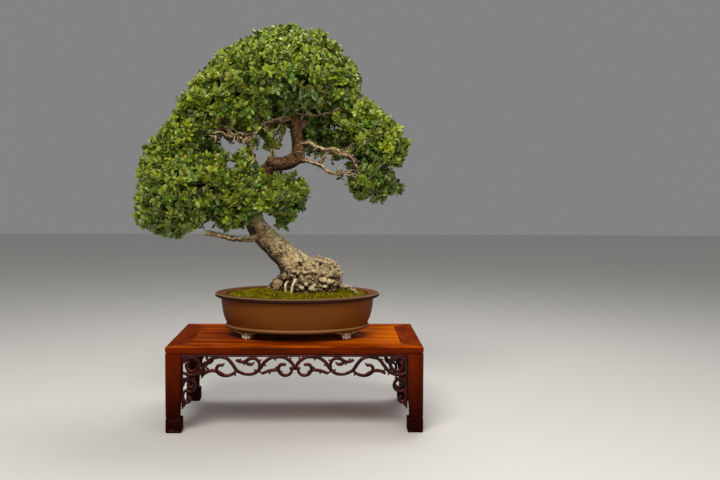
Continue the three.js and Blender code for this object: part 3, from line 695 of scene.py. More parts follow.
def moss_surface(settings):
    """Moss: olive in the hollows, bright at the tips. tip runs from 0 at the soil to 1."""
    made, nodes, shader = new_material("moss cushions", Specular_IOR_Level=0.02)
    speckle = nodes.group(speckle_group(), {"Scale": 230.0, "Amount": 0.62})
    broad = nodes.ramp(nodes.noise(nodes.place(), 38.0, 4.0), 0.4, 0.6)
    brown = nodes.ramp(nodes.noise(nodes.place(), 60.0, 3.0), 0.52, 0.62, 0.0, 0.75)
    base = nodes.layered(
        settings.dark,
        (settings.light, nodes.value("tip"), 1),
        (colour(56, 58, 4), broad, 0.75),
        (colour(214, 204, 56), speckle["Flecks"], 0.8),
        (colour(100, 62, 12), brown, 1))
    fuzz = nodes.noise(nodes.place(), 1300.0, 3.0)
    surface(nodes, shader, base, speckle["Mottle"], (0.75, 0.95), fuzz, 0.0012, 0.8)
    return made


def grainy(name, dark, light, scale, rough, relief, metallic=0.0):
    """A plain speckled finish for soil, moulded plastic, wire and the floor."""
    made, nodes, shader = new_material(name, Metallic=metallic)
    speckle = nodes.group(speckle_group(), {"Scale": scale, "Amount": 0.5})
    base = nodes.layered(dark, (light, speckle["Mottle"], 1), (dark, speckle["Flecks"], 0.3))
    grit = nodes.noise(nodes.place(), scale * 2, 2.0)
    surface(nodes, shader, base, speckle["Mottle"], (rough, rough + 0.12), grit, relief, 0.4)
    return made


def refinish(name, material):
    """Gives a CAD node that keeps its shape a better material."""
    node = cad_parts[name]
    if not node.material_slots:
        node.data.materials.append(material)
    for slot in node.material_slots:
        slot.material = material


# The stand

class Side:
    """One side of the stand: distances run along it, depths inwards from its outer face."""

    def __init__(self, name, corner, along, outward, length):
        self.name = name
        self.corner = np.array([*corner, 0.0])
        self.along = np.array([*along, 0.0])
        self.outward = np.array([*outward, 0.0])
        self.length = length

    def points(self, distance, inset, height):
        """Points from arrays of distance, inset and height."""
        distance, inset, height = np.broadcast_arrays(distance, inset, height)
        flat = self.corner + distance[..., None] * self.along - inset[..., None] * self.outward
        return flat + height[..., None] * UP


SIDES = [
    Side("front", (-HALF_WIDTH, -HALF_DEPTH), (1, 0), (0, -1), 2 * HALF_WIDTH),
    Side("right", (HALF_WIDTH, -HALF_DEPTH), (0, 1), (1, 0), 2 * HALF_DEPTH),
    Side("back", (HALF_WIDTH, HALF_DEPTH), (-1, 0), (0, 1), 2 * HALF_WIDTH),
    Side("left", (-HALF_WIDTH, HALF_DEPTH), (0, -1), (-1, 0), 2 * HALF_DEPTH),
]


def arc(centre, radius, start, end, steps):
    """Points on an arc; the turns are in degrees."""
    turn = np.radians(np.linspace(start, end, steps))
    return np.stack([centre[0] + radius * np.cos(turn), centre[1] + radius * np.sin(turn)], axis=1)


def rail_section(rounding):
    """Across a rail: how far in from the outer face, and the height."""
    panel_tongue = (221.5 - GAP, 226.5 + GAP)
    groove = RAIL_WIDTH - TONGUE_LENGTH - GAP
    top = arc((rounding, STAND_HEIGHT - rounding), rounding, 180, 90, 7)
    return np.concatenate([
        [(4.5, RAIL_BOTTOM), (3.0, RAIL_BOTTOM + 0.4), (2.2, RAIL_BOTTOM + 1.6)],
        [(2.4, RAIL_BOTTOM + 2.8), (1.4, RAIL_BOTTOM + 3.6), (0.6, RAIL_BOTTOM + 5.0)],
        [(0.2, RAIL_BOTTOM + 9.0)],
        top,
        [(RAIL_WIDTH - 0.4, STAND_HEIGHT), (RAIL_WIDTH, STAND_HEIGHT - 0.4)],
        [(RAIL_WIDTH, panel_tongue[1]), (groove, panel_tongue[1])],
        [(groove, panel_tongue[0]), (RAIL_WIDTH, panel_tongue[0])],
        [(RAIL_WIDTH, RAIL_BOTTOM)],
    ])


def build_stand_top(settings):
    """Four mitred rails with a rounded edge, round the floating panel on its battens."""
    light = settings.wood_light
    dark = settings.wood_dark
    # The leg wood is painted on the rails' upright faces as shade.
    face = settings.leg_wood
    along_x = lacquered_wood("rail wood", (0.16, 1.0, 1.0), light, dark, face=face)
    along_y = lacquered_wood(
        "end rail wood", (1.0, 0.16, 1.0), dark_mix(light, dark, 0.72), dark_mix(dark, (0, 0, 0), 0.3),
        0.5, face=face)
    # The panel gets a painted highlight towards its right end.
    panel = lacquered_wood(
        "panel wood", (0.12, 1.0, 1.0), dark_mix(light, dark, 0.2), dark, 0.55, 1.25,
        bright=settings.panel_right_highlight)
    section = rail_section(settings.edge_round)
    across = section[:, 0]
    for side in SIDES:
        ends = [across + GAP, side.length - across - GAP]
        rail = Shape().add(*ring_stack([side.points(end, across, section[:, 1]) for end in ends]))
        wood = along_x if side.name in ("front", "back") else along_y
        rail.piece(f"rail_{side.name}", wood, "rail_wood", [f"stand_rail_{side.name}"], 32)
    refinish("stand_panel", panel)
    for name in ("stand_batten_left", "stand_batten_right"):
        refinish(name, along_y)


def dark_mix(light, dark, share):
    """A colour part of the way from light to dark."""
    return tuple(a + (b - a) * share for a, b in zip(light, dark))


def leg_width(height):
    """Width of a leg at a height: a square hoof, a hollow above it and a straight post."""
    hollow_top = HOOF_HEIGHT + 75
    if height <= HOOF_HEIGHT - 2:
        return LEG_SIDE - 2 * max(0.0, 1 - height / 4)
    if height <= HOOF_HEIGHT:
        return LEG_SIDE - (LEG_SIDE - LEG_WAIST - 1) * (height - HOOF_HEIGHT + 2) / 2
    if height >= hollow_top:
        return LEG_SIDE
    rise = (height - HOOF_HEIGHT) / (hollow_top - HOOF_HEIGHT)
    return LEG_WAIST + (LEG_SIDE - LEG_WAIST) * rise ** 1.6


def rounded_square(low, high, radius):
    """A square's outline between two corners on the diagonal, with rounded corners."""
    near = low + radius
    far = high - radius
    corners = ((far, near, -90), (far, far, 0), (near, far, 90), (near, near, 180))
    return np.concatenate([arc((x, y), radius, turn, turn + 90, 4) for x, y, turn in corners])


def spiral(centre, outer, inner, turns, start, steps=26):
    """Points of a curl that winds from its outer to its inner radius; start is in degrees."""
    share = np.linspace(0, 1, steps)
    turn = math.radians(start) + share * turns * 2 * math.pi
    radius = outer + (inner - outer) * share
    return np.stack([centre[0] + radius * np.cos(turn), centre[1] + radius * np.sin(turn)], axis=1)


def hoof_carving(shape, to_face):
    """A sunk-looking square frame with a curl in it, raised on one face of a hoof."""
    low, high = 5.0, LEG_SIDE - 6.0
    top = HOOF_HEIGHT - 6.0
    frame_line = np.array([(low, 5), (high, 5), (high, top), (low, top)], float)
    for first, second in zip(frame_line, np.roll(frame_line, -1, axis=0)):
        line = np.linspace(first, second, 6)
        shape.add(*tube(to_face(line), np.full(len(line), 1.1), 6))
    curl = spiral((20.5, 18.0), 10.0, 2.6, 1.35, 150)
    shape.add(*tube(to_face(curl), np.linspace(1.1, 2.0, len(curl)), 6))
    shape.add(*ball(to_face(curl[-1:])[0], 2.6, 6, 8))
    leaf = smooth_path([(9, 9), (16, 7.5), (24, 8), (31, 12)], 3, 2)
    shape.add(*tube(to_face(leaf), np.linspace(0.8, 1.7, len(leaf)), 6))


def build_legs(settings):
    """Four posts that are hollowed on their inner faces and end in carved square hooves."""
    light = settings.leg_wood
    wood = lacquered_wood(
        "leg wood", (1.0, 1.0, 0.14), light, dark_mix(light, (0, 0, 0), 0.55), 0.5, 0.8,
        foot=settings.leg_foot)
    hollow = np.linspace(HOOF_HEIGHT + 2, HOOF_HEIGHT + 78, 20)
    heights = np.concatenate([
        [0.0, 0.8, 2.0, 4.0, 12.0, 24.0, HOOF_HEIGHT - 4, HOOF_HEIGHT - 2, HOOF_HEIGHT - 0.8],
        [HOOF_HEIGHT], hollow, np.linspace(HOOF_HEIGHT + 90, LEG_TOP - 1, 5), [LEG_TOP]])
    for name, side_x, side_y in (("front_left", -1, -1), ("front_right", 1, -1),
                                 ("back_right", 1, 1), ("back_left", -1, 1)):
        corner = np.array([side_x * HALF_WIDTH, side_y * HALF_DEPTH, 0.0])
        inward = np.array([-side_x, -side_y, 1.0])
        rings = []
        for height in heights:
            low = 2.2 * max(0.0, 1 - height / 2.2)
            waist = 0.9 if HOOF_HEIGHT - 1 < height < HOOF_HEIGHT + 4 else 0.0
            edge = rounded_square(low + waist, leg_width(height), 1.8)
            rings.append(corner + np.insert(edge, 2, height, axis=1) * inward)
        leg = Shape().add(*ring_stack(rings))

        def on_front(line):
            return corner + np.insert(line, 1, HOOF_CARVING_DEPTH, axis=1) * inward

        def on_end(line):
            return corner + np.insert(line, 0, HOOF_CARVING_DEPTH, axis=1) * inward

        hoof_carving(leg, on_front)
        hoof_carving(leg, on_end)
        leg.piece(f"leg_{name}", wood, "leg_wood", [f"stand_leg_{name}"], 38)


# Scrollwork, drawn as (distance from the leg, depth under the moulded bar)
LEFT_SPIRAL = [
    [(17, 19), (12, 26), (15, 36), (25, 43), (38, 39), (46, 27), (42, 13), (29, 6), (14, 9), (5, 20)],
    [(4, 46), (16, 52), (30, 52), (49, 44), (63, 27), (76, 11), (98, 5)],
]
FIRST_ARCH = [[(92, 5), (106, 5), (121, 10), (134, 24), (146, 41), (163, 49)]]
FIRST_CURL = [
    [(145, 41), (136, 49), (122, 54), (107, 53), (95, 45), (92, 35), (98, 27), (107, 27)],
    [(112, 53), (98, 45), (84, 41), (70, 43), (59, 49)],
]
SECOND_ARCH = [
    [(157, 48), (172, 51), (190, 49), (206, 36), (218, 19), (236, 7), (255, 5)],
    [(204, 36), (204, 20), (194, 9), (180, 9), (166, 17), (153, 17), (143, 12)],
    [(167, 17), (177, 24), (186, 24)],
]
CENTRE_CURL = [
    [(249, 5), (270, 6), (286, 16), (295, 28), (298, 37)],
    [(291, 34), (288, 47), (275, 54), (262, 50), (254, 40), (240, 40), (226, 43), (211, 49)],
    [(258, 44), (255, 34), (262, 25), (272, 25)],
]
CENTRE_LINK = [(284, 35), (313, 35)]
SIDE_LINK = [(151, 45), (164, 50), (177, 45)]
LONG_STEMS = LEFT_SPIRAL + FIRST_ARCH + FIRST_CURL + SECOND_ARCH + CENTRE_CURL
SHORT_STEMS = LEFT_SPIRAL + FIRST_ARCH + FIRST_CURL
SPANDREL_STEMS = [
    [(4, 82), (8, 70), (20, 64), (32, 70), (36, 82), (30, 93), (18, 97), (8, 92)],
    [(34, 76), (28, 86), (18, 84), (17, 76)],
    [(10, 94), (4, 104), (5, 118), (14, 126), (22, 120), (18, 111)],
    [(10, 124), (4, 136)],
]
# Little buds on the stems: (distance, depth, half length). Each is moved onto the nearest stem.
LONG_BUDS = [
    (62, 40, 5), (88, 42, 5), (118, 8, 5), (140, 47, 5), (151, 14, 5), (208, 46, 5), (206, 14, 5),
    (246, 10, 5), (250, 38, 5), (284, 12, 5), (48, 46, 5), (8, 12, 4), (36, 12, 5), (72, 12, 5),
    (104, 48, 5), (112, 22, 4), (164, 22, 5), (196, 42, 5), (222, 28, 5), (232, 46, 5),
    (262, 46, 4), (291, 40, 4), (190, 20, 4),
]
SHORT_BUDS = [bud for bud in LONG_BUDS if bud[0] < 142]
SCROLL_STEP = 3.6
SECTION_SIDES = 10


class Carving:
    """Pierced scrollwork on one side of the stand. mirror draws it from the far leg."""

    def __init__(self, side, mirror=False):
        self.side = side
        self.mirror = mirror
        self.shape = Shape()

    def place(self, distance, depth, inset):
        """Points of the carving, inset from its own front face."""
        along = LEG_GAP + np.asarray(distance, float)
        if self.mirror:
            along = self.side.length - along
        return self.side.points(along, APRON_SETBACK + inset, CARVING_TOP - np.asarray(depth))

    def stem(self, points, width):
        """A stem with a rounded front, thinner where it starts and thicker at its curl."""
        line = smooth_path(points, SCROLL_STEP, 2)
        share = np.linspace(0, 1, len(line))[:, None]
        half = width / 2 * (0.82 + 0.25 * np.sin(share * math.pi) + 0.12 * share)
        travel = unit(np.gradient(line, axis=0))
        across = np.stack([-travel[:, 1], travel[:, 0]], axis=1)
        turn = circle(SECTION_SIDES)
        sideways = np.sign(np.cos(turn)) * np.abs(np.cos(turn)) ** 0.85 * half
        middle = APRON_THICKNESS / 2
        inset = middle - np.sign(np.sin(turn)) * np.abs(np.sin(turn)) ** 0.7 * (middle - 0.2)
        distance = line[:, :1] + across[:, :1] * sideways
        depth = line[:, 1:] + across[:, 1:] * sideways
        self.shape.add(*ring_stack(self.place(distance, depth, inset[None, :])))

    def knob(self, point, size):
        """A round knob at the tip of a curl."""
        points, faces = ball((0, 0, 0), 1.0, 7, 10)
        depth = point[1] + points[:, 2] * size
        inset = APRON_THICKNESS / 2 + points[:, 1] * (APRON_THICKNESS / 2 + 0.1)
        self.shape.add(self.place(point[0] + points[:, 0] * size, depth, inset), faces)

    def bud(self, distance, depth, half, stems, width):
        """A small pointed bud. It is moved so that its foot lies in the nearest stem."""
        lines = np.concatenate([smooth_path(stem, SCROLL_STEP, 2) for stem in stems])
        asked = np.array([distance, depth], float)
        near = lines[np.argmin(np.linalg.norm(lines - asked, axis=1))]
        away = unit(asked - near + (0.01, 0.0))
        centre = near + away * (0.36 * width + 0.45 * half)
        points, faces = ball((0, 0, 0), (half, 0.9 * APRON_THICKNESS / 2, 2.6), 7, 8)
        along = points[:, 0] * away[0] - points[:, 2] * away[1]
        down = points[:, 0] * away[1] + points[:, 2] * away[0]
        inset = APRON_THICKNESS / 2 + points[:, 1]
        self.shape.add(self.place(centre[0] + along, centre[1] + down, inset), faces)

    def strip(self, start, end, width):
        """The upright bead beside the leg, from one depth to another."""
        corner = arc((width / 2, width / 2), width / 2 - 0.1, 180, 360, 6)
        edge = np.concatenate([corner, [(width, APRON_THICKNESS), (0, APRON_THICKNESS)]])
        rings = [self.place(edge[:, 0], depth, edge[:, 1]) for depth in (start, end)]
        self.shape.add(*ring_stack(rings))

    def bar(self, section, start, end):
        """A straight moulded bar along the side, from a section of (depth, inset)."""
        section = np.asarray(section, float)
        rings = [self.place(at, section[:, 0], section[:, 1]) for at in (start, end)]
        self.shape.add(*ring_stack(rings))


BAR_SECTION = [
    (-4, 1.2), (-3.4, 0.5), (-2.2, 0.2), (-1.2, 0.6), (-0.8, 1.5), (-0.2, 0.5), (1.0, 0.0),
    (2.4, 0.2), (3.4, 1.0), (4, 2.2), (4, 11), (3, 12), (-4, 12),
]


def build_carving(settings):
    """Openwork aprons of scrolling stems between the legs, with a bracket in each corner."""
    lacquer = carved_lacquer(settings)
    width = settings.stem_width
    for side in SIDES:
        long_side = side.name in ("front", "back")
        stems, link = (LONG_STEMS, CENTRE_LINK) if long_side else (SHORT_STEMS, SIDE_LINK)
        apron = Carving(side)
        apron.bar(BAR_SECTION, 0, side.length - 2 * LEG_GAP)
        for mirror in (False, True):
            apron.mirror = mirror
            apron.strip(3, 56, 4)
            for points in stems:
                apron.stem(points, width)
            apron.knob(LEFT_SPIRAL[0][0], 4.2)
            apron.knob(FIRST_CURL[0][-1], 4.2)
            if long_side:
                apron.knob(SECOND_ARCH[2][-1], 3.8)
                apron.knob(CENTRE_CURL[2][-1], 4.2)
            for bud in LONG_BUDS if long_side else SHORT_BUDS:
                apron.bud(*bud, stems, width)
        apron.mirror = False
        apron.stem(link, width)
        apron.shape.piece(
            f"apron_{side.name}", lacquer, "carved_wood", [f"stand_apron_{side.name}"], 50)
        for end, mirror in (("a", False), ("b", True)):
            bracket = Carving(side, mirror)
            bracket.strip(60, 142, 4)
            bracket.bar([(60, 0.2), (66, 0.2), (68, 1.4), (68, 11.8), (60, 11.8)], 0.2, 20)
            bracket.bar([(60, 0.2), (63.4, 0.2), (64.4, 1.2), (64.4, 11.8), (60, 11.8)], 19, 34)
            for points in SPANDREL_STEMS:
                bracket.stem(points, width - 0.8)
            bracket.knob(SPANDREL_STEMS[1][-1], 3.4)
            bracket.knob(SPANDREL_STEMS[2][-1], 3.4)
            name = f"{side.name}_{end}"
            bracket.shape.piece(
                f"bracket_{name}", lacquer, "carved_wood", [f"stand_spandrel_{name}"], 50)


# The pot, with what lies in it. Heights are above the pot's foot.
POT_PROFILE = [
    (1, 24), (150, 24), (196, 24), (200, 24.6), (202, 26.6), (202.6, 29.4), (202.0, 32.2),
    (200.4, 34.0), (198.8, 35.6), (199.4, 38), (202.6, 45), (206, 53), (209.4, 64), (212, 78),
    (213.6, 91), (214.6, 103), (215.6, 106.4), (219, 108.6), (224, 110.0), (228.6, 111.0),
    (231, 112.6), (231.8, 115.2), (231.4, 118), (230.2, 120.2), (228.6, 121.0), (225.6, 121.2),
    (216, 120.8), (208, 120.7), (203.4, 120.2), (201.2, 118.6), (199.8, 115), (198, 107),
    (196.8, 98), (195.2, 82), (192, 62), (189.4, 50), (186, 42.6), (180, 36.6), (170, 36), (1, 36),
]
FOOT_HALF = [(0, 0), (7, 0.3), (11.5, 2.6), (13.6, 7), (14.2, 12), (17, 15.6), (24, 18.4),
             (34, 21), (41, 24), (43, 28)]


def pot_wear(points):
    """How worn the clay is at each point, which also holds a painted highlight on the rim's edge and
    the bead's crest, and where the painted shade on the outer face of the lip lies.
    """
    radius = np.hypot(points[:, 0], points[:, 1] / OVALNESS)
    height = points[:, 2] - POT_BASE
    # The bead's crest and the rim's outer edge are worn pale and get a painted highlight.
    bead = (height > 31) & (height < 33) & (radius > 201)
    rim_edge = (height > 119.5) & (radius > 227)
    rim_top = (height > 119) & (radius > 202)
    worn = np.maximum.reduce([bead * 0.75, rim_edge * 0.78, rim_top * 0.1])
    # Painted shade on the outer face of the lip.
    lip = ((height > 105.5) & (height < 119) & (radius > 217)) * 1.0
    return worn, lip


def foot_forms(shape, side_x, side_y):
    """A carved foot: a cloud with wings that run out along the wall, and its curls."""
    half = smooth_path(FOOT_HALF, 2.6, 2)
    outline = np.concatenate([half, half[::-1][:-1] * (-1, 1)])
    turn = -side_x * side_y * FOOT_TURN
    along = np.array([math.cos(turn), math.sin(turn), 0.0])
    outward = np.array([-math.sin(turn), math.cos(turn), 0.0]) * side_y
    origin = np.array([side_x * FOOT_SPREAD[0], side_y * FOOT_SPREAD[1], POT_BASE])

    def place(line, depth):
        line = np.asarray(line, float)
        return origin + (line[:, :1] * along + depth * outward) + line[:, 1:] * UP

    reach = FOOT_THICKNESS / 2
    centre = np.array([0.0, 15.0])
    slices = ((-1, 0.9), (-0.94, 0.97), (-0.82, 1), (0.7, 1), (0.86, 0.97), (0.96, 0.9), (1.0, 0.82))
    rings = [place(centre + (outline - centre) * shrink, depth * reach) for depth, shrink in slices]
    # The raised curls, wings and knobs are paler than the foot's body: worn clay and a painted
    # highlight.
    shape.add(*ring_stack(rings), worn=0.25)
    face = reach - 0.2
    for flip in (-1, 1):
        curl = spiral((5.6, 10.5), 6.6, 1.6, 1.25, -80, 20) * (flip, 1)
        shape.add(*tube(place(curl, face), np.linspace(1.4, 2.2, len(curl)), 7), worn=1.15)
        wing = smooth_path([(10, 14), (18, 17.5), (28, 20), (38, 23)], 3, 2) * (flip, 1)
        shape.add(*tube(place(wing, face), np.linspace(2.6, 1.2, len(wing)), 7), worn=0.9)
        swirl = spiral((20, 21.5), 3.4, 0.8, 1.1, 200, 14) * (flip, 1)
        shape.add(*tube(place(swirl, face), np.full(len(swirl), 1.0), 6), worn=0.9)
    for at, size in (((0, 4.4), 4.4), ((0, 16), 3.4), ((-9.2, 5.4), 3.2), ((9.2, 5.4), 3.2)):
        shape.add(*ball(place([at], face - 0.4)[0], size, 7, 10), worn=1.15)


def build_pot(settings):
    """The oval pot: wall, flat lip, bead and floor turned as one, its four carved feet and
    the two drain holes cut through the floor."""
    strength = settings.waviness

    def stray(turn, height):
        slow = 0.6 * np.sin(3 * turn + 0.7) + 0.4 * np.sin(5 * turn + height * 0.03)
        return strength * slow * np.clip((height - 36) / 60, 0, 1) * (height < 122)

    wall = Shape("worn", "lip")
    profile = smooth_corners(POT_PROFILE)
    points, faces = turned(profile, settings.segments, stray)
    points[:, 2] += POT_BASE
    worn, lip = pot_wear(points)
    wall.add(points, faces, worn=worn, lip=lip)
    mesh = drilled(wall.mesh("pot_wall"))
    feet = Shape("worn", "lip")
    for side_x in (-1, 1):
        for side_y in (-1, 1):
            foot_forms(feet, side_x, side_y)
    whole = joined_mesh("pot", [mesh, feet.mesh("pot_feet")])
    finish_piece(whole, "pot_fired", fired_clay(settings), ["pot"], 44)


def smooth_corners(profile):
    """A finer profile with two points more along every long stretch that isn't flat."""
    profile = np.asarray(profile, float)
    made = [profile[0]]
    for first, second in zip(profile[:-1], profile[1:]):
        parts = 3 if 5 < np.linalg.norm(second - first) < 25 else 1
        made.extend(first + (second - first) * (part / parts) for part in range(1, parts + 1))
    return np.array(made)


def drilled(mesh):
    """The pot's wall with its two drain holes."""
    turn_faces_out(mesh)
    pot = placed("pot_blank", mesh)
    cutters = Shape()
    for side in (-1, 1):
        ends = [(side * DRAIN_SPREAD, 0.0, POT_BASE + height)
                for height in (POT_FLOOR_BOTTOM - 4, POT_FLOOR_TOP + 4)]
        cutters.add(*tube(ends, [DRAIN_RADIUS, DRAIN_RADIUS], 48))
    drill_mesh = cutters.mesh("drill")
    turn_faces_out(drill_mesh)
    drill = placed("drill", drill_mesh)
    cut = pot.modifiers.new("holes", "BOOLEAN")
    cut.operation = "DIFFERENCE"
    cut.solver = "EXACT"
    cut.object = drill
    made = applied(pot)
    for helper in (pot, drill):
        bpy.data.objects.remove(helper)
    return made


def applied(thing):
    """A copy of an object's mesh with its modifiers applied."""
    bpy.context.view_layer.update()
    seen = thing.evaluated_get(bpy.context.evaluated_depsgraph_get())
    return bpy.data.meshes.new_from_object(seen)


def joined_mesh(name, meshes):
    """Several meshes as one."""
    work = bmesh.new()
    for mesh in meshes:
        work.from_mesh(mesh)
    made = bpy.data.meshes.new(name)
    work.to_mesh(made)
    work.free()
    return made


def build_drain_parts():
    """The plastic screens over the drain holes and the wires that hold them."""
    plastic = grainy("screen plastic", colour(34, 36, 34), colour(62, 66, 60), 700, 0.5, 0.0003)
    wire = grainy("wire", colour(150, 84, 52), colour(196, 128, 84), 900, 0.35, 0.0001, 0.9)
    for side in ("left", "right"):
        refinish(f"drain_screen_{side}", plastic)
        refinish(f"screen_clip_{side}", wire)


SOIL_PROFILE = [
    (1, 41), (120, 40.6), (178, 41), (185.6, 46), (190.6, 60), (193.6, 82), (195.4, 98),
    (196.2, 105.2), (192, 106), (120, 106), (1, 106),
]


def build_soil():
    """The root ball in the pot, rough with grit."""
    material = grainy("gritty soil", colour(44, 32, 24), colour(104, 84, 64), 420, 0.85, 0.002)
    points, faces = turned(smooth_corners(SOIL_PROFILE), 96)
    inward = unit(points * (1, 1, 0))
    rough = 0.5 * np.abs(wander(points, 5.0, 3)) + 0.8 * np.abs(wander(points, 14.0, 5))
    points = points - inward * rough[:, None]
    points[:, 2] += POT_BASE
    Shape().add(points, faces).piece("root_ball", material, "soil", ["soil"], 40)


MOSS_RIM = 198.0
MOSS_FOOT = 106.5


def moss_height(x, y):
    """Height of the moss above the pot's foot, before its cushions."""
    radius = np.hypot(x, y / OVALNESS)
    mound = np.interp(radius, [0, 109, 176.7, 198.5], [128, 124, 118, 113])
    inner = np.clip((198.5 - radius) / 25, 0, 1)
    return mound + 2.2 * np.sin(x / 23 + 1) * np.cos(y / 19) * inner


def moss_cushions(x, y):
    """How high the moss stands above its mound: broad cushions with fine ones on them."""
    swell = 0.0
    for size, shift, height in ((17.0, 0, 0.75), (5.5, 50, 0.35)):
        places = np.stack([x + shift, y, np.zeros_like(x)], axis=1)
        swell = swell + height * np.clip(1 - 1.15 * cell_pattern(places, size, 1.0)[0], 0, None)
    return swell


def build_moss(settings):
    """Cushions of moss mounded over the soil, set with fine shoots."""
    random = np.random.default_rng(11)
    radii = np.concatenate([[0.5], np.linspace(3.4, MOSS_RIM, 62)])
    profile = [(1, MOSS_FOOT), (MOSS_RIM * 0.7, MOSS_FOOT), (MOSS_RIM - 1.6, MOSS_FOOT)]
    profile += [(radius, 0.0) for radius in radii[::-1]]
    points, faces = turned(profile, 220)
    top = points[:, 2] == 0
    x, y = points[top, 0], points[top, 1]
    edge = np.clip((MOSS_RIM - np.hypot(x, y / OVALNESS)) / 6, 0, 1)
    swell = moss_cushions(x, y) * edge
    points[top, 2] = moss_height(x, y) - 2.0 * (1 - edge) + settings.cushion * 1.5 * (swell - 0.35)
    tip = np.zeros(len(points))
    tip[top] = np.clip(swell * 1.1 - 0.15, 0, 1)
    points[:, 2] += POT_BASE
    moss = Shape("tip").add(points, faces, tip=tip)
    count = settings.tufts
    radius = MOSS_RIM * 0.985 * np.sqrt(random.random(count))
    turn = random.random(count) * 2 * math.pi
    x = radius * np.cos(turn)
    y = radius * np.sin(turn) * OVALNESS
    swell = moss_cushions(x, y)
    ground = moss_height(x, y) + settings.cushion * 1.5 * (swell - 0.35) + POT_BASE
    lean = random.normal(0, 1.1, (count, 2))
    tall = random.uniform(1.6, 4.2, count)
    width = random.uniform(0.5, 1.0, count)
    corners = []
    for third in range(3):
        around = turn + third * 2 * math.pi / 3
        corners.append((x + width * np.cos(around), y + width * np.sin(around), ground - 1.2))
    corners.append((x + lean[:, 0], y + lean[:, 1], ground + tall))
    points = np.array(corners).transpose(2, 0, 1).reshape(-1, 3)
    faces = repeated([(0, 1, 3), (1, 2, 3), (2, 0, 3), (2, 1, 0)], 4, count)
    shoot_tip = np.stack([swell * 0.6] * 3 + [np.clip(swell * 0.6 + 0.6, 0, 1)], axis=1)
    moss.add(points, faces, tip=shoot_tip.ravel())
    moss.piece("moss_cushions", moss_surface(settings), "moss", ["moss"])


